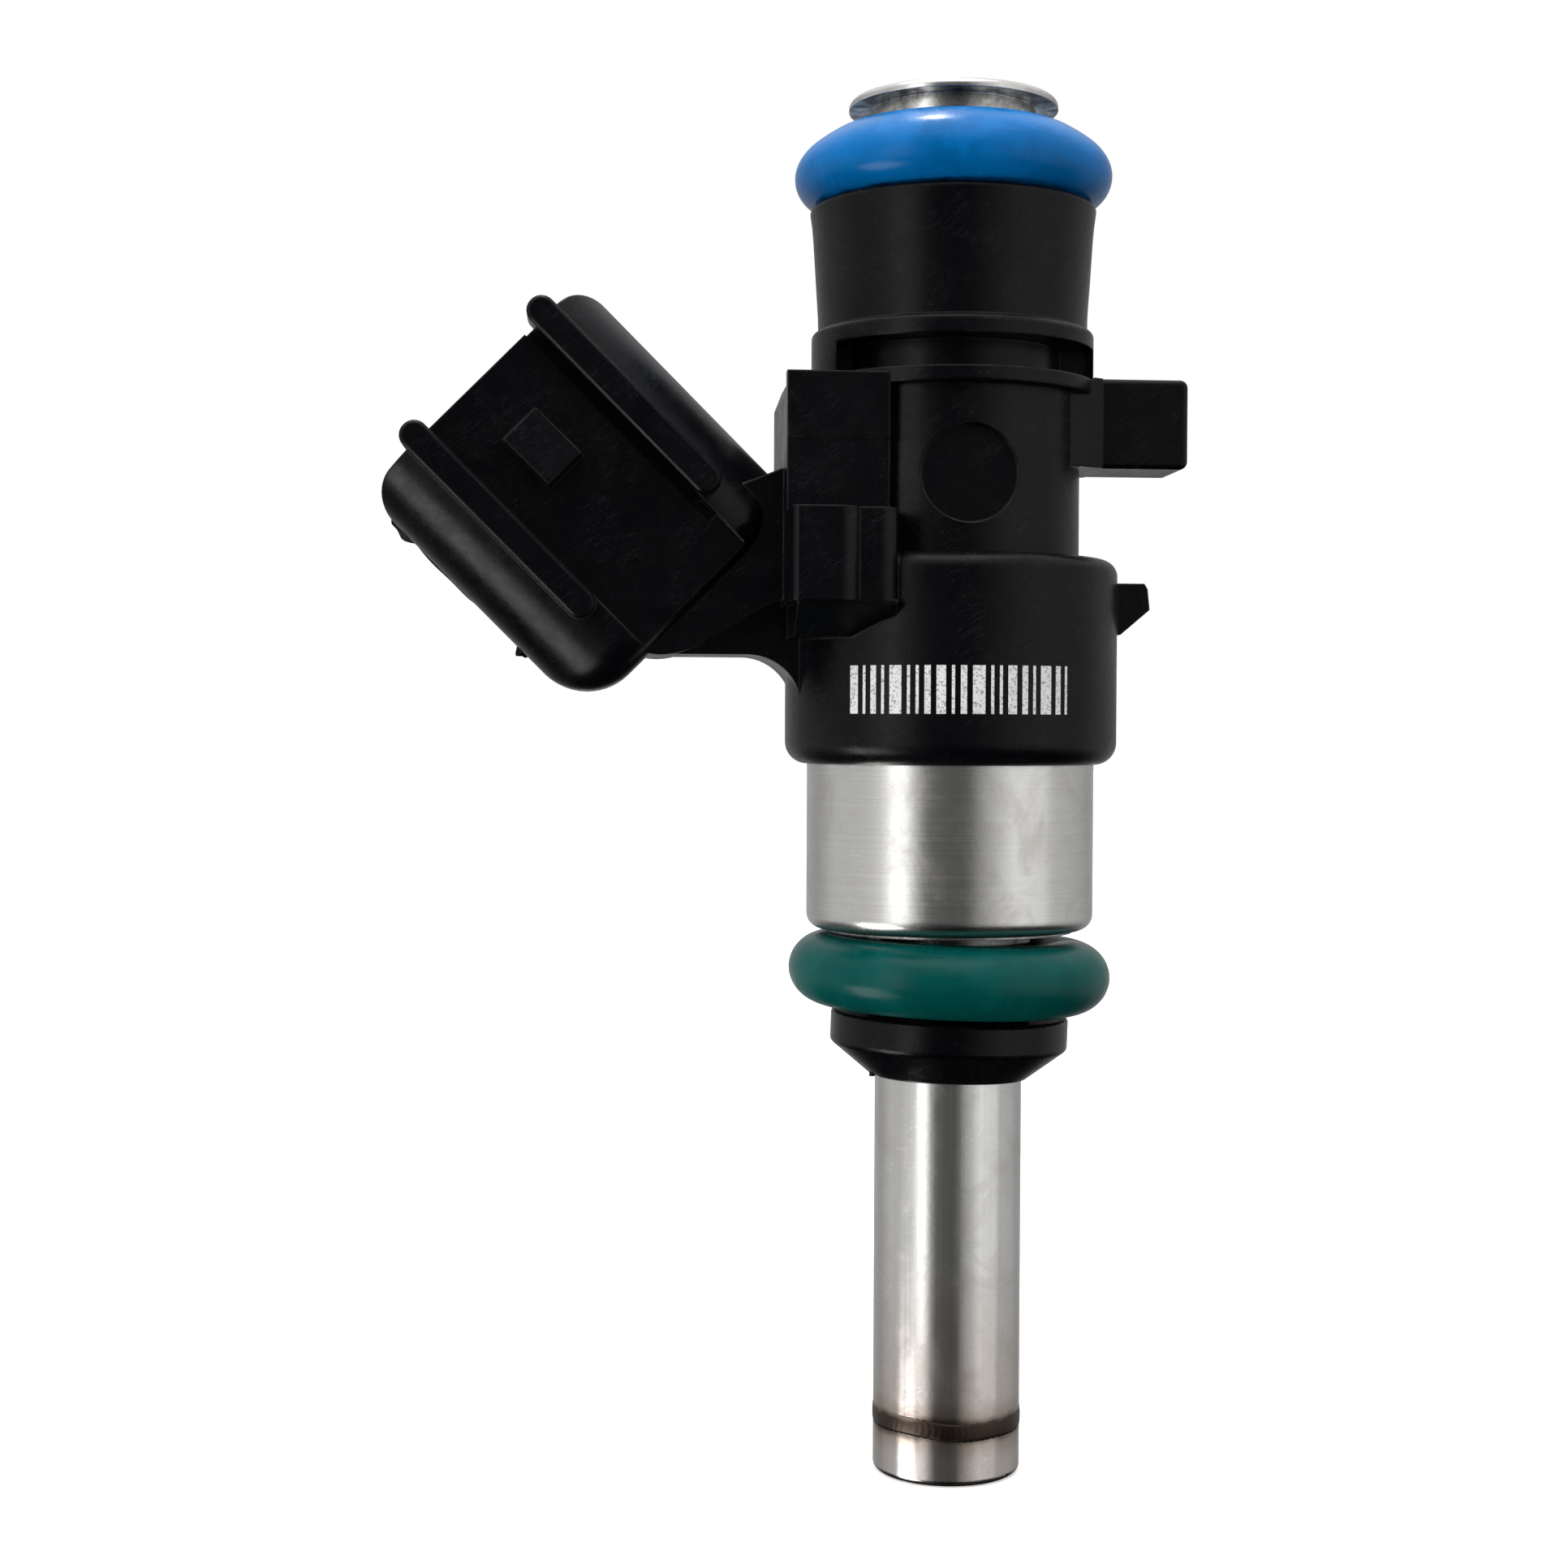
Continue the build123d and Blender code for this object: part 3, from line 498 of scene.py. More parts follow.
def plastic_finish(name, colour, worn, roughness, grain, edge):
    """Moulded plastic: fine grain, rubbed edges, scuffs, dust in its corners."""
    material, tree, shader = new_finish(name, Specular_IOR_Level=0.14, IOR=1.5)
    moulded = effect(tree, "moulded_grain", size=grain / MM, flow=1.1)
    mottle = effect(tree, "moulded_grain", size=3.2 * grain / MM, flow=0.0)["Height"]
    edges = effect(tree, "edge_wear", width=edge / MM, amount=0.75)
    smudge = effect(tree, "handling_smudges", size=3.2, amount=0.8)["Mask"]
    scuff = effect(tree, "stray_scratches", density=0.28)["Mask"]
    dust_and_shade = effect(tree, "settled_dust_and_shade", reach=0.7, amount=0.3)["Mask"]
    greasy = compute(tree, "MULTIPLY", smudge, 0.25)
    rubbed = compute(tree, "MAXIMUM", edges["Mask"], scuff)
    base = blend(tree, moulded["Tone"], scaled(colour, 0.72), scaled(colour, 1.35))
    base = blend(tree, greasy, base, scaled(colour, 2.2))
    base = blend(tree, rubbed, base, worn)
    base = blend(tree, dust_and_shade, base, PLASTIC_DUST)
    feed(tree, base, shader["Base Color"])
    tone = moulded["Tone"]
    swings = ((tone, 0.14), (mottle, 0.16), (smudge, -0.1), (scuff, 0.15))
    feed(tree, vary(tree, roughness - 0.14, *swings), shader["Roughness"])
    relief = compute(tree, "MULTIPLY_ADD", mottle, 1.6, moulded["Height"])
    relief = compute(tree, "SUBTRACT", relief, compute(tree, "MULTIPLY", scuff, 0.8))
    feed(tree, bump(tree, relief, 0.26, 0.014 * MM, edges["Normal"]), shader["Normal"])
    lay_out(tree)
    return material


def rubber_finish(name, colour, roughness):
    """Moulded rubber: soft bloom, patches of oil, and painted shade where it sits against its neighbours.
    """
    material, tree, shader = new_finish(name, Specular_IOR_Level=0.11, IOR=1.5)
    moulded = effect(tree, "moulded_grain", size=0.22, flow=1.2)
    smudge = effect(tree, "handling_smudges", size=2.0, amount=0.9)["Mask"]
    # Painted shade: the rubber is darkened almost to black where it sits close to the parts beside it.
    painted_shade = effect(tree, "settled_dust_and_shade", reach=2.4, amount=0.85)["Mask"]
    bloom = [min(1, 1.15 * channel + 0.002) for channel in colour]
    base = blend(tree, moulded["Tone"], scaled(colour, 0.55), scaled(colour, 1.05))
    base = blend(tree, compute(tree, "MULTIPLY", smudge, 0.45), base, bloom)
    base = blend(tree, painted_shade, base, RUBBER_SHADE)
    feed(tree, base, shader["Base Color"])
    rough = vary(tree, roughness - 0.06, (smudge, 0.16), (moulded["Tone"], 0.1))
    feed(tree, rough, shader["Roughness"])
    feed(tree, bump(tree, moulded["Height"], 0.28, 0.012 * MM), shader["Normal"])
    lay_out(tree)
    return material


def metal_finish(
    name, colour, roughness, stretch, contrast=0.8, edge=0.08, stain=0.35, tint=None, shade_amount=0.5
):
    """Bare metal: long tool marks, bright rubbed edges, faint stains, stray scratches and painted shade in
    its corners.
    """
    material, tree, shader = new_finish(name, Metallic=1.0)
    marks = effect(tree, "metal_brushing", stretch=stretch, contrast=contrast)
    edges = effect(tree, "edge_wear", width=edge, amount=0.7)
    smudge = effect(tree, "handling_smudges", size=2.6, amount=1.0)["Mask"]
    scuff = effect(tree, "stray_scratches", density=0.6)["Mask"]
    # Painted shade: a mask of the metal's corners and of where it lies under neighbouring parts.
    dust_and_shade = effect(tree, "settled_dust_and_shade", reach=3.2 * shade_amount, amount=shade_amount)["Mask"]
    mottle = effect(tree, "moulded_grain", size=0.3, flow=0.0)["Height"]
    stained = [share * channel for share, channel in zip(METAL_STAIN, colour)]
    rubbed = compute(tree, "MAXIMUM", edges["Mask"], scuff)
    base = blend(tree, marks["Tone"], scaled(colour, 0.74), scaled(colour, 1.2))
    base = blend(tree, compute(tree, "MULTIPLY", smudge, stain), base, stained)
    base = blend(tree, rubbed, base, scaled(colour, 1.3))
    # Painted shade: the masked metal is darkened almost to black.
    base = blend(tree, dust_and_shade, base, scaled(colour, 0.09))
    if tint is not None:
        base = tint(tree, base)
    feed(tree, base, shader["Base Color"])
    rough = vary(tree, roughness - 0.08, (marks["Tone"], 0.16), (smudge, 0.1), (dust_and_shade, 0.2))
    feed(tree, rough, shader["Roughness"])
    relief = compute(tree, "MULTIPLY_ADD", mottle, 1.5, marks["Height"])
    feed(tree, bump(tree, relief, 0.3, 0.006 * MM, edges["Normal"]), shader["Normal"])
    lay_out(tree)
    return material


def weld_tint(settings, shade):
    """A tint for steel heated by the weld: warm from afar, straw near it, scorched beside it."""
    # Where each tint starts and is full, in mm from the weld, how strong it is, and its colour
    zones = (
        (9.0, 1.0, 0.35, WARM),
        (1.5, 0.5, 0.6, STRAW),
        (0.7, 0.3, shade, settings.scorch_colour),
    )

    def apply(tree, base):
        height = add(tree, "ShaderNodeSeparateXYZ")
        tree.links.new(place_in_mm(tree), height.inputs[0])
        sway = compute(tree, "SUBTRACT", noise(tree, place_in_mm(tree, (0.6, 0.6, 0.2)), 1.0, 3.0), 0.5)
        level = compute(tree, "MULTIPLY_ADD", sway, 0.7, height.outputs["Z"])
        away = compute(tree, "ABSOLUTE", compute(tree, "SUBTRACT", level, settings.weld_height / MM))
        for far, near, amount, colour in zones:
            base = blend(tree, compute(tree, "MULTIPLY", span(tree, away, far, near), amount), base, colour)
        return base

    return apply


def dress(finish, *nodes):
    """Give the finish to every slot of the named nodes."""
    for node in nodes:
        part = bpy.data.objects.get(node)
        if part is None:
            raise RuntimeError(f"the frame has no node {node}")
        for slot in part.material_slots:
            slot.material = finish
        if not part.material_slots:
            part.data.materials.append(finish)


# Mesh helpers

def new_piece(name, verts, faces, finish, body):
    """A smooth mesh piece with its finish, riding on its body."""
    mesh = bpy.data.meshes.new(name)
    mesh.from_pydata(verts, [], faces)
    mesh.update()
    mesh.polygons.foreach_set("use_smooth", [True] * len(mesh.polygons))
    piece = bpy.data.objects.new(name, mesh)
    bpy.context.scene.collection.objects.link(piece)
    piece.data.materials.append(finish)
    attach(piece, body)
    return piece


def ring_mesh(profile, around, lift=None):
    """Vertices and faces of a closed profile of (radius, height) turned about Z."""
    verts = []
    for step in range(around):
        turn = 2 * math.pi * step / around
        for index, (radius, height) in enumerate(profile):
            shift = lift(turn, index) if lift else (0, 0)
            out = radius + shift[0]
            verts.append((out * math.cos(turn), out * math.sin(turn), height + shift[1]))
    count = len(profile)
    faces = []
    for step in range(around):
        after = (step + 1) % around
        for index in range(count):
            up = (index + 1) % count
            near, far = step * count, after * count
            faces.append((near + index, far + index, far + up, near + up))
    return verts, faces


def thread_mesh(path, radius, sides, closed):
    """Vertices and faces of a thread along a path of points."""
    verts = []
    count = len(path)
    for k, point in enumerate(path):
        before = path[k - 1] if closed or k > 0 else path[0]
        after = path[(k + 1) % count] if closed or k < count - 1 else path[-1]
        along = (after - before).normalized()
        out = Vector((point.x, point.y, 0)).normalized()
        side = along.cross(out).normalized()
        for s in range(sides):
            turn = 2 * math.pi * s / sides
            verts.append(point + radius * (math.cos(turn) * out + math.sin(turn) * side))
    faces = []
    for k in range(count if closed else count - 1):
        after = (k + 1) % count
        for s in range(sides):
            up = (s + 1) % sides
            faces.append((k * sides + s, after * sides + s, after * sides + up, k * sides + up))
    return verts, faces


def radii(node):
    """The smallest and largest distance of a node's points from the injector's axis."""
    reach = [vert.co.xy.length for vert in bpy.data.objects[node].data.vertices]
    return min(reach), max(reach)


def join_meshes(parts):
    """One list of vertices and faces from many."""
    verts = []
    faces = []
    for part_verts, part_faces in parts:
        start = len(verts)
        verts.extend(part_verts)
        faces.extend(tuple(start + index for index in face) for face in part_faces)
    return verts, faces


# Operators

class INJECTOR_OT_plastics(bpy.types.Operator):
    """Finish the moulded body, the support ring, the spool and the strainer's cage"""

    bl_idname = "injector.plastics"
    bl_label = "Finish moulded parts"

    def execute(self, context):
        look = context.scene.injector_plastic
        black = plastic_finish(
            "black_moulding", look.colour, look.worn_colour, look.roughness, look.grain, look.edge
        )
        dress(black, "body_overmould")
        smoother = look.roughness - 0.06
        sharper = 0.5 * look.edge
        ring = plastic_finish(
            "ring_moulding", look.colour, look.worn_colour, smoother, 0.7 * look.grain, sharper
        )
        dress(ring, "support_ring")
        inner = plastic_finish(
            "inner_moulding", look.inner_colour, look.worn_inner_colour, 0.4, 0.8 * look.grain, sharper
        )
        dress(inner, "coil_bobbin", "filter_frame")
        return {"FINISHED"}


class INJECTOR_OT_seals(bpy.types.Operator):
    """Finish both rubber rings and add the moulding line around each"""

    bl_idname = "injector.seals"
    bl_label = "Finish seal rings"

    def execute(self, context):
        look = context.scene.injector_seal
        rings = (
            ("upper_o_ring", "rail_rubber", look.rail_colour, "blue_rubber"),
            ("lower_o_ring", "manifold_rubber", look.manifold_colour, "green_rubber"),
        )
        for node, name, colour, slot in rings:
            rubber = rubber_finish(name, colour, look.roughness)
            dress(rubber, node)
            self.add_flash(node, rubber, slot, look.flash)
        return {"FINISHED"}

    def add_flash(self, node, rubber, slot, proud):
        """The thin, uneven moulding line where the two mould halves met, tilted with its ring."""
        low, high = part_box(node)
        part = bpy.data.objects[node]
        points = [vert.co for vert in part.data.vertices]
        right = max(points, key=lambda p: p.x)
        left = min(points, key=lambda p: p.x)
        slope = (right.z - left.z) / (right.x - left.x)
        middle = (right.z + left.z) / 2
        radius = (high[1] - low[1]) / 2

        def wander(turn, index):
            proudness = 0.6 + 0.4 * math.sin(3 * turn + 1) * math.sin(11 * turn)
            out = proud * (proudness - 1) if index == 1 else 0
            return out, slope * radius * math.cos(turn) + 0.02 * MM * math.sin(2 * turn)

        root = radius - 0.12 * MM
        half = 0.05 * MM
        profile = [(root, middle - half), (radius + 0.1 * proud, middle), (root, middle + half)]
        verts, faces = ring_mesh(profile, 160, wander)
        new_piece(node + "_flash", verts, faces, rubber, "housing")


class INJECTOR_OT_steels(bpy.types.Operator):
    """Finish the steel tubes, the pot and the magnetic parts"""

    bl_idname = "injector.steels"
    bl_label = "Finish steel parts"

    def execute(self, context):
        look = context.scene.injector_steel
        steel = look.colour
        # The pot and the inlet tube get deeper painted shade in their corners than the other metal parts.
        brushed = metal_finish(
            "brushed_pot", steel, look.roughness, (0.05, 0.05, 16), contrast=1.1, edge=0.12, shade_amount=0.8
        )
        dress(brushed, "magnet_pot")
        drawn = metal_finish(
            "drawn_tube", steel, look.roughness - 0.04, DRAWN,
            contrast=1.0, edge=0.06, stain=0.25, tint=weld_tint(look, 0.85),
        )
        dress(drawn, "nozzle_tube")
        turned = metal_finish("turned_tube", steel, 0.2, (0.1, 0.1, 9), contrast=0.7, shade_amount=1.0)
        dress(turned, "inlet_tube")
        dress(metal_finish("needle_stem", steel, 0.2, DRAWN, contrast=0.5, edge=0.04), "needle_tube")
        etched = metal_finish("etched_plate", steel, 0.3, (3, 3, 3), contrast=0.5, edge=0.03)
        dress(etched, "orifice_disc")
        magnet = metal_finish("turned_magnet_steel", look.magnet_colour, 0.33, TURNED, contrast=0.9)
        dress(magnet, "armature", "pole_core", "seat_body")
        stamped = metal_finish("stamped_washer", look.magnet_colour, 0.38, (2, 2, 0.4), contrast=0.7)
        dress(stamped, "flux_washer")
        chrome = metal_finish(
            "ground_chrome", look.chrome_colour, 0.1, (2.5, 2.5, 2.5), contrast=0.15, edge=0.03, stain=0.1
        )
        dress(chrome, "armature_stop_ring", "valve_ball")
        return {"FINISHED"}


class INJECTOR_OT_weld_seam(bpy.types.Operator):
    """Add the rippled weld bead that joins the valve tube to its seat"""

    bl_idname = "injector.weld_seam"
    bl_label = "Add weld seam"

    def execute(self, context):
        look = context.scene.injector_steel
        finish = metal_finish(
            "weld_bead", look.colour, 0.36, (1.2, 1.2, 1.2), edge=0.05, stain=0.6, tint=weld_tint(look, 1.0)
        )
        low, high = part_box("nozzle_tube")
        if not low[2] < look.weld_height < high[2]:
            raise RuntimeError("the weld is off the valve tube")
        radius = radii("nozzle_tube")[1]
        half = look.weld_width / 2
        crown = 0.045 * MM
        sunk = 0.01 * MM
        steps = 9
        profile = []
        for k in range(steps):
            share = 2 * k / (steps - 1) - 1
            proud = crown * (1 - share * share) ** 0.5
            profile.append((radius - sunk + proud, look.weld_height + share * half))
        profile.append((radius - 0.08 * MM, look.weld_height))

        def ripple(turn, index):
            share = index / (steps - 1)
            lap = math.sin(70 * turn + 5 * (share - 0.5) ** 2 * math.pi)
            out = 0.004 * MM * lap if index < steps else 0
            sway = 0.09 * MM * math.sin(2 * turn + 0.6) + 0.04 * MM * math.sin(5 * turn)
            return out, sway

        verts, faces = ring_mesh(profile, 420, ripple)
        new_piece("weld_seam", verts, faces, finish, "housing")
        return {"FINISHED"}


class INJECTOR_OT_contacts(bpy.types.Operator):
    """Finish the contact blades and the bare brass parts"""

    bl_idname = "injector.contacts"
    bl_label = "Finish contacts and brass"

    def execute(self, context):
        look = context.scene.injector_copper
        tinned = metal_finish(
            "tinned_blade", look.tin_colour, 0.3, (1.5, 6, 1.5), contrast=0.5, edge=0.05, stain=0.3
        )
        dress(tinned, "terminal_pin_upper", "terminal_pin_lower")
        brass = metal_finish(
            "turned_brass", look.brass_colour, 0.26, (0.12, 0.12, 10), contrast=0.6, edge=0.05, stain=0.4
        )
        dress(brass, "adjusting_sleeve", "filter_ring")
        return {"FINISHED"}


class INJECTOR_OT_winding(bpy.types.Operator):
    """Wind the coil as real turns of enamelled wire, and finish its leads"""

    bl_idname = "injector.winding"
    bl_label = "Wind coil"

    def execute(self, context):
        look = context.scene.injector_copper
        colour = look.enamel_colour
        enamel = metal_finish(
            "enamelled_copper", colour, 0.22, (1.5, 1.5, 1.5), contrast=0.5, edge=0.03, stain=0.3
        )
        dress(enamel, "coil_leads")
        low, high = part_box("coil_winding")
        inner, outer = radii("coil_winding")
        pitch = (high[2] - low[2]) / look.turns
        wire = pitch / 2
        flattened = 0.96 * wire
        arc = [math.pi * (share / 4 - 0.5) for share in range(5)]
        profile = [(inner, low[2])]
        for turn in range(look.turns):
            centre = low[2] + (turn + 0.5) * pitch
            for angle in arc:
                out = outer - wire + wire * math.cos(angle)
                profile.append((out, centre + flattened * math.sin(angle)))
        profile.append((inner, high[2]))
        verts, faces = ring_mesh(profile, 72)
        piece = new_piece("coil_turns", verts, faces, enamel, "housing")
        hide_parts("coil_winding")
        return {"FINISHED"}


class INJECTOR_OT_spring(bpy.types.Operator):
    """Wind the return spring, with closed end turns"""

    bl_idname = "injector.spring"
    bl_label = "Wind return spring"

    def execute(self, context):
        look = context.scene.injector_spring
        steel = metal_finish(
            "spring_wire", look.colour, 0.24, (5, 5, 5), contrast=0.5, edge=0.03, stain=0.3
        )
        low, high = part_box("return_spring")
        reach = radii("return_spring")
        wire = (reach[1] - reach[0]) / 2
        middle = (reach[1] + reach[0]) / 2
        foot = low[2] + wire
        head = high[2] - wire
        closed = 2.02 * wire
        open_height = head - foot - 2 * closed
        steps = 32
        path = []
        for step in range(look.turns * steps + 1):
            turn = step / steps
            open_share = min(1, max(0, (turn - 1) / (look.turns - 2)))
            end_turns = min(turn, 1) + max(0, turn - look.turns + 1)
            height = foot + closed * end_turns + open_height * open_share
            angle = 2 * math.pi * turn
            path.append(Vector((middle * math.cos(angle), middle * math.sin(angle), height)))
        sides = 12
        verts, faces = thread_mesh(path, 0.98 * wire, sides, False)
        faces.append(tuple(reversed(range(sides))))
        faces.append(tuple(range(len(verts) - sides, len(verts))))
        piece = new_piece("spring_coil", verts, faces, steel, "housing")
        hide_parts("return_spring")
        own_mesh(piece)
        return {"FINISHED"}

    def needle_joint(self):
        """The frame's row for the needle's slide."""
        return next(joint for joint in frame["joints"] if joint["name"] == "needle_lift")


class INJECTOR_OT_gauze(bpy.types.Operator):
    """Weave the strainer's gauze from single threads"""

    bl_idname = "injector.gauze"
    bl_label = "Weave strainer gauze"

    def execute(self, context):
        look = context.scene.injector_strainer
        low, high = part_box("filter_mesh")
        radius = radii("filter_mesh")[1] - look.thread
        uprights = 2 * round(math.pi * radius / look.pitch)
        tall = high[2] - low[2]
        hoops = round(tall / look.pitch)
        swing = look.thread / 2
        sides = 4
        threads = []
        for k in range(uprights):
            turn = 2 * math.pi * k / uprights
            path = []
            for level in range(2 * hoops + 1):
                side = swing * math.sin(math.pi * (level / 2 + k))
                path.append(self.spot(radius + side, turn, low[2] + tall * level / (2 * hoops)))
            threads.append(thread_mesh(path, look.thread / 2, sides, False))
        for k in range(hoops):
            height = low[2] + (k + 0.5) * tall / hoops
            path = []
            for step in range(2 * uprights):
                side = swing * math.cos(math.pi * (step / 2 + k + 1))
                path.append(self.spot(radius + side, math.pi * step / uprights, height))
            threads.append(thread_mesh(path, look.thread / 2, sides, True))
        verts, faces = join_meshes(threads)
        finish = rubber_finish("woven_thread", look.colour, 0.45)
        piece = new_piece("strainer_gauze", verts, faces, finish, "housing")
        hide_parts("filter_mesh")
        return {"FINISHED"}

    def spot(self, radius, turn, height):
        """A point from its radius, its turn about the axis and its height."""
        return Vector((radius * math.cos(turn), radius * math.sin(turn), height))


class INJECTOR_OT_printed_mark(bpy.types.Operator):
    """Print a plain row of bars on the front of the barrel"""

    bl_idname = "injector.printed_mark"
    bl_label = "Print bars"

    def execute(self, context):
        look = context.scene.injector_mark
        ink = self.ink_finish(look.ink_colour, look.thin_colour)
        radius = look.radius + look.film
        # Widths of the bars, and of the gap between them, in units that fill the row
        widths = (3, 1, 2, 1, 4, 1, 1, 2, 3, 1, 2, 4, 1, 1, 3, 2, 1, 4, 2, 1)
        gap = 1.8
        unit = look.width / (sum(widths) + gap * (len(widths) - 1))
        along = -look.width / 2 - look.shift
        bars = []
        for width in widths:
            bars.append(self.bar(radius, along, along + width * unit, look.level, look.height))
            along += (width + gap) * unit
        verts, faces = join_meshes(bars)
        new_piece("printed_bars", verts, faces, ink, "housing")
        return {"FINISHED"}

    def bar(self, radius, start, end, middle, height):
        """One bar, curved round the barrel's front."""
        finest = 0.12 * MM
        rows = 4
        steps = max(2, round((end - start) / finest))
        verts = []
        for k in range(steps + 1):
            turn = (start + (end - start) * k / steps) / radius
            across = radius * math.sin(turn)
            front = -radius * math.cos(turn)
            for level in range(rows + 1):
                share = level / rows - 0.5
                verts.append((across, front, middle + share * height))
        faces = []
        for k in range(steps):
            for level in range(rows):
                corner = (rows + 1) * k + level
                beside = corner + rows + 1
                faces.append((corner, beside, beside + 1, corner + 1))
        return verts, faces

    def ink_finish(self, colour, thin_colour):
        """Pad-printed ink: thin in specks, so the plastic shows through."""
        material, tree, shader = new_finish("printed_ink", Specular_IOR_Level=0.4)
        moulded = effect(tree, "moulded_grain", size=0.12, flow=0.8)
        speck = compute(tree, "MULTIPLY", span(tree, moulded["Height"], 0.5, 0.34), 0.6)
        worn = effect(tree, "handling_smudges", size=0.9, amount=0.8)["Mask"]
        thin = compute(tree, "MAXIMUM", speck, compute(tree, "MULTIPLY", worn, 0.3))
        feed(tree, blend(tree, thin, colour, thin_colour), shader["Base Color"])
        feed(tree, compute(tree, "MULTIPLY_ADD", thin, -0.12, 0.6), shader["Roughness"])
        feed(tree, bump(tree, moulded["Height"], 0.25, 0.008 * MM), shader["Normal"])
        lay_out(tree)
        return material


class INJECTOR_OT_mould_marks(bpy.types.Operator):
    """Add the flash on the connector's lower parting line"""

    bl_idname = "injector.mould_marks"
    bl_label = "Add mould marks"

    def execute(self, context):
        plastic = bpy.data.materials.get("black_moulding")
        if plastic is None:
            raise RuntimeError("finish the moulded parts first")
        look = context.scene.injector_mark
        along = Vector((1, 0, -1)).normalized()
        out = Vector((-1, 0, -1)).normalized()
        mouth = Vector(look.flash_start)
        # How far along the line each starts, its length and its height in mm, and its seed
        fins = (
            (1.2, 1.5, 0.3, 5),
            (2.9, 3.6, 0.1, 11),
            (9.2, 0.7, 0.36, 3),
        )
        flashes = []
        for distance, length, height, seed in fins:
            foot = mouth + distance * MM * along
            flashes.append(self.fin(foot, along, out, length * MM, height * MM, seed))
        verts, faces = join_meshes(flashes)
        new_piece("mould_flash", verts, faces, plastic, "housing")
        return {"FINISHED"}

    def fin(self, start, along, out, length, height, seed):
        """A thin ragged fin of flash on the parting line, rooted inside the plastic."""
        root = 0.5 * MM
        half = 0.12 * MM
        steps = 14
        verts = []
        for k in range(steps + 1):
            share = k / steps
            rise = height * max(0, math.sin(math.pi * share)) ** 0.6
            rise *= 0.75 + 0.25 * math.sin(seed * 1.7 + 8 * share)
            line = start + share * length * along
            side = Vector((0, half * (0.8 + 0.2 * math.cos(seed + 7 * share)), 0))
            foot = line - root * out
            verts += [foot - side, line + rise * out, foot + side]
        faces = []
        for k in range(steps):
            for face in (0, 1):
                corner = 3 * k + face
                faces.append((corner, corner + 1, corner + 4, corner + 3))
        return verts, faces


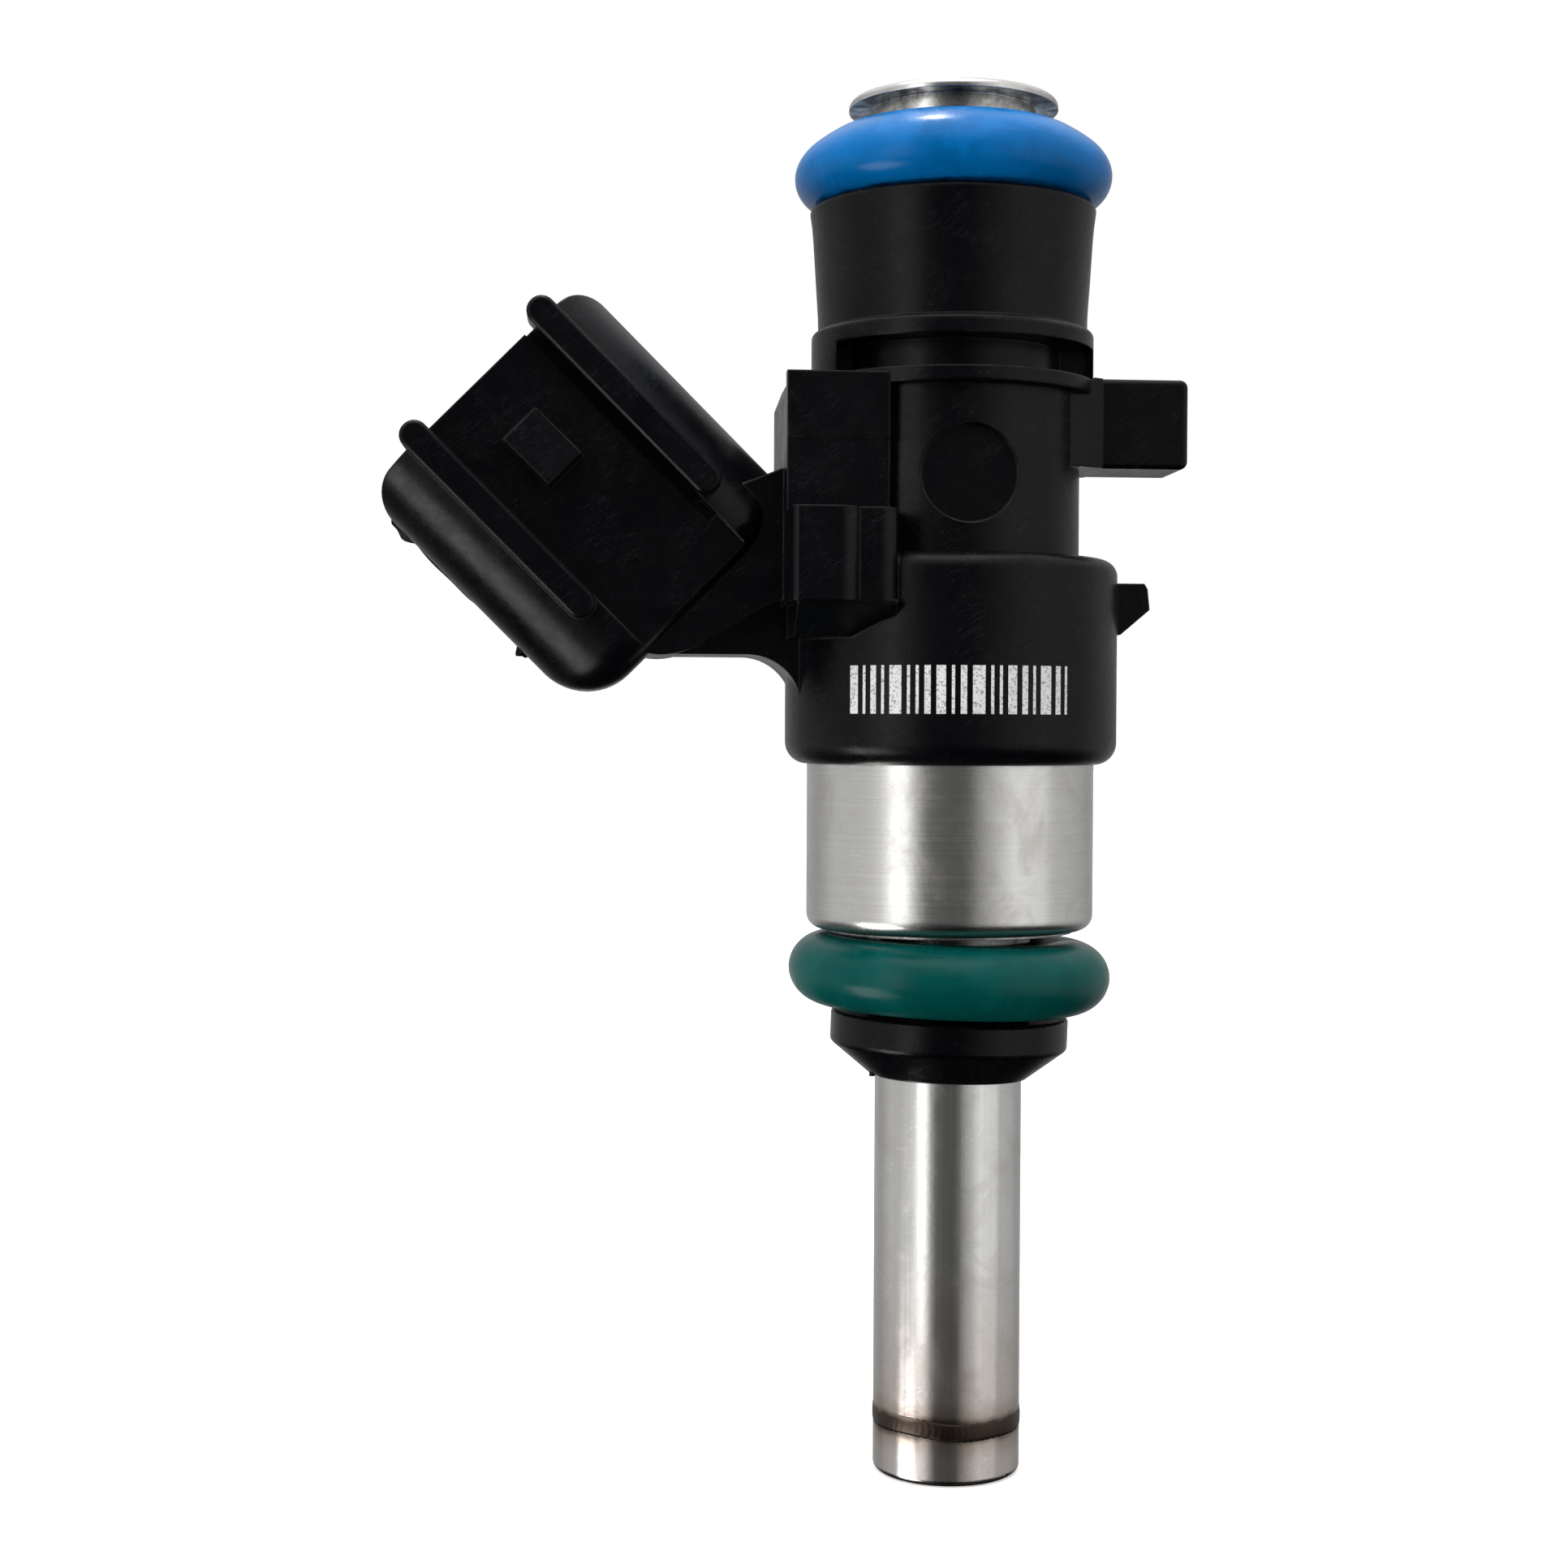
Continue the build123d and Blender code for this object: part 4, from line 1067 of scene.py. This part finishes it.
class INJECTOR_OT_stage(bpy.types.Operator):
    """Set up the floor, the soft lights, the backdrop and the camera"""

    bl_idname = "injector.stage"
    bl_label = "Set up studio"

    def execute(self, context):
        look = context.scene.injector_studio
        self.floor(look)
        self.lights(look)
        self.backdrop(look, context.scene)
        self.camera(look, context.scene)
        context.scene.view_settings.view_transform = "Standard"
        return {"FINISHED"}

    def floor(self, look):
        """A wide pale floor just under the tip, clear when seen from below."""
        half = 2.0
        gap = 0.02 * MM
        corners = [(-half, -half, 0), (half, -half, 0), (half, half, 0), (-half, half, 0)]
        mesh = bpy.data.meshes.new("floor")
        mesh.from_pydata(corners, [], [(0, 1, 2, 3)])
        floor = bpy.data.objects.new("floor", mesh)
        floor.location.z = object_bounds()[0][2] - gap
        bpy.context.scene.collection.objects.link(floor)
        floor.visible_diffuse = False
        floor.visible_glossy = False
        floor.visible_shadow = False
        material, tree, shader = new_finish("pale_floor", Roughness=0.85, Specular_IOR_Level=0.0)
        shader["Emission Color"].default_value = (1, 1, 1, 1)
        shader["Emission Strength"].default_value = look.floor_glow
        shade = effect(tree, "handling_smudges", size=400.0, amount=1.0)["Mask"]
        pale = blend(tree, shade, look.floor_colour, scaled(look.floor_colour, 0.985))
        feed(tree, pale, shader["Base Color"])
        under = add(tree, "ShaderNodeNewGeometry").outputs["Backfacing"]
        feed(tree, compute(tree, "SUBTRACT", 1.0, under), shader["Alpha"])
        lay_out(tree)
        mesh.materials.append(material)
        floor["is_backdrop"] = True

    def lights(self, look):
        """Tall soft boxes on both sides, one above, one low on the left and a small lamp."""
        middle = Vector((-0.005, 0, 0.031))
        # Name, place, size and power
        boxes = (
            ("left_soft_box", (-0.17, -0.15, 0.06), (0.07, 0.24), look.key_power),
            ("right_soft_box", (0.16, -0.10, 0.05), (0.12, 0.24), look.fill_power),
            ("top_soft_box", (-0.03, -0.05, 0.26), (0.24, 0.2), look.top_power),
            ("small_lamp", (-0.004, 0.095, 0.27), (0.014, 0.014), look.lamp_power),
            ("low_soft_box", (-0.17, -0.05, -0.1), (0.1, 0.1), look.low_power),
        )
        for name, place, size, power in boxes:
            light = bpy.data.lights.new(name, "AREA")
            light.shape = "RECTANGLE"
            light.size, light.size_y = size
            light.energy = power
            box = bpy.data.objects.new(name, light)
            box.location = place
            box.rotation_euler = (middle - box.location).to_track_quat("-Z", "Y").to_euler()
            bpy.context.scene.collection.objects.link(box)

    def backdrop(self, look, scene):
        """White behind the part, and a soft studio around it that reflects in the metal."""
        world = bpy.data.worlds.new("studio")
        world.use_nodes = True
        tree = world.node_tree
        ground = tree.nodes["Background"]
        heading = add(tree, "ShaderNodeSeparateXYZ")
        tree.links.new(add(tree, "ShaderNodeTexCoord").outputs["Generated"], heading.inputs[0])
        front = compute(tree, "MULTIPLY", heading.outputs["Y"], -1.0)
        angle = compute(tree, "ARCTAN2", heading.outputs["X"], front)
        share = compute(tree, "MULTIPLY_ADD", angle, 0.5 / math.pi, 0.5)
        ramp = add(tree, "ShaderNodeValToRGB")
        tree.links.new(share, ramp.inputs[0])
        # Heading in degrees from the front, to the right, and the brightness there
        bands = (
            (-180, 0.5), (-135, 0.45), (-114, 0.7), (-75, 0.72), (-60, 0.95), (-46, 1.4),
            (-37, 0.85), (-28, 0.13), (8, 0.1), (18, 0.5), (30, 0.75), (38, 1.0),
            (52, 0.76), (92, 0.65), (115, 0.55), (137, 0.4), (180, 0.5),
        )
        points = ramp.color_ramp.elements
        for spot, (degrees, level) in enumerate(bands):
            point = points[spot] if spot < 2 else points.new(1.0)
            point.position = degrees / 360 + 0.5
            point.color = (level, level, level, 1)
        rise = span(tree, heading.outputs["Z"], -0.6, -0.18, 0.03, 1.0)
        dimmed = blend(tree, rise, (0, 0, 0), ramp.outputs[0])
        ceiling = blend(tree, span(tree, heading.outputs["Z"], 0.3, 0.75), dimmed, (1.15, 1.15, 1.18))
        seen = add(tree, "ShaderNodeLightPath").outputs["Is Camera Ray"]
        white = [look.backdrop] * 3
        tree.links.new(blend(tree, seen, ceiling, white), ground.inputs["Color"])
        lay_out(tree)
        scene.world = world

    def camera(self, look, scene):
        """The camera, level with the part's middle and a little to its left."""
        data = bpy.data.cameras.new("camera")
        data.lens = look.lens
        data.clip_start = 0.001
        camera = bpy.data.objects.new("camera", data)
        camera.location = look.camera_place
        aim = (Vector(look.camera_target) - camera.location).to_track_quat("-Z", "Y").to_matrix()
        camera.rotation_euler = (aim @ Matrix.Rotation(look.camera_roll, 3, "Z")).to_euler()
        scene.collection.objects.link(camera)
        scene.camera = camera


OPERATORS = (
    INJECTOR_OT_plastics,
    INJECTOR_OT_seals,
    INJECTOR_OT_steels,
    INJECTOR_OT_weld_seam,
    INJECTOR_OT_contacts,
    INJECTOR_OT_winding,
    INJECTOR_OT_spring,
    INJECTOR_OT_gauze,
    INJECTOR_OT_printed_mark,
    INJECTOR_OT_mould_marks,
    INJECTOR_OT_stage,
)


class INJECTOR_PT_parts(bpy.types.Panel):
    """The injector's settings and steps"""

    bl_idname = "INJECTOR_PT_parts"
    bl_label = "Fuel injector"
    bl_space_type = "VIEW_3D"
    bl_region_type = "UI"
    bl_category = "Injector"

    def draw(self, context):
        for name, group in SETTINGS.items():
            box = self.layout.box()
            box.label(text=group.__doc__)
            for setting in group.__annotations__:
                box.prop(getattr(context.scene, name), setting)
        for step in OPERATORS:
            self.layout.operator(step.bl_idname)


SETTINGS = {
    "injector_plastic": PlasticSettings,
    "injector_seal": SealSettings,
    "injector_steel": SteelSettings,
    "injector_copper": CopperSettings,
    "injector_spring": SpringSettings,
    "injector_strainer": StrainerSettings,
    "injector_mark": MarkSettings,
    "injector_studio": StudioSettings,
}


def register():
    """Register the settings, the operators and the panel."""
    for name, group in SETTINGS.items():
        bpy.utils.register_class(group)
        setattr(bpy.types.Scene, name, PointerProperty(type=group))
    for item in (*OPERATORS, INJECTOR_PT_parts):
        bpy.utils.register_class(item)


def unregister():
    """Take them all away again."""
    for item in (INJECTOR_PT_parts, *reversed(OPERATORS)):
        bpy.utils.unregister_class(item)
    for name, group in SETTINGS.items():
        delattr(bpy.types.Scene, name)
        bpy.utils.unregister_class(group)


def main():
    """Build every piece in order."""
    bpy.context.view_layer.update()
    register()
    for step in OPERATORS:
        area, verb = step.bl_idname.split(".")
        if getattr(getattr(bpy.ops, area), verb)() != {"FINISHED"}:
            raise RuntimeError(f"{step.bl_idname} did not finish")


if __name__ == "__main__":
    main()
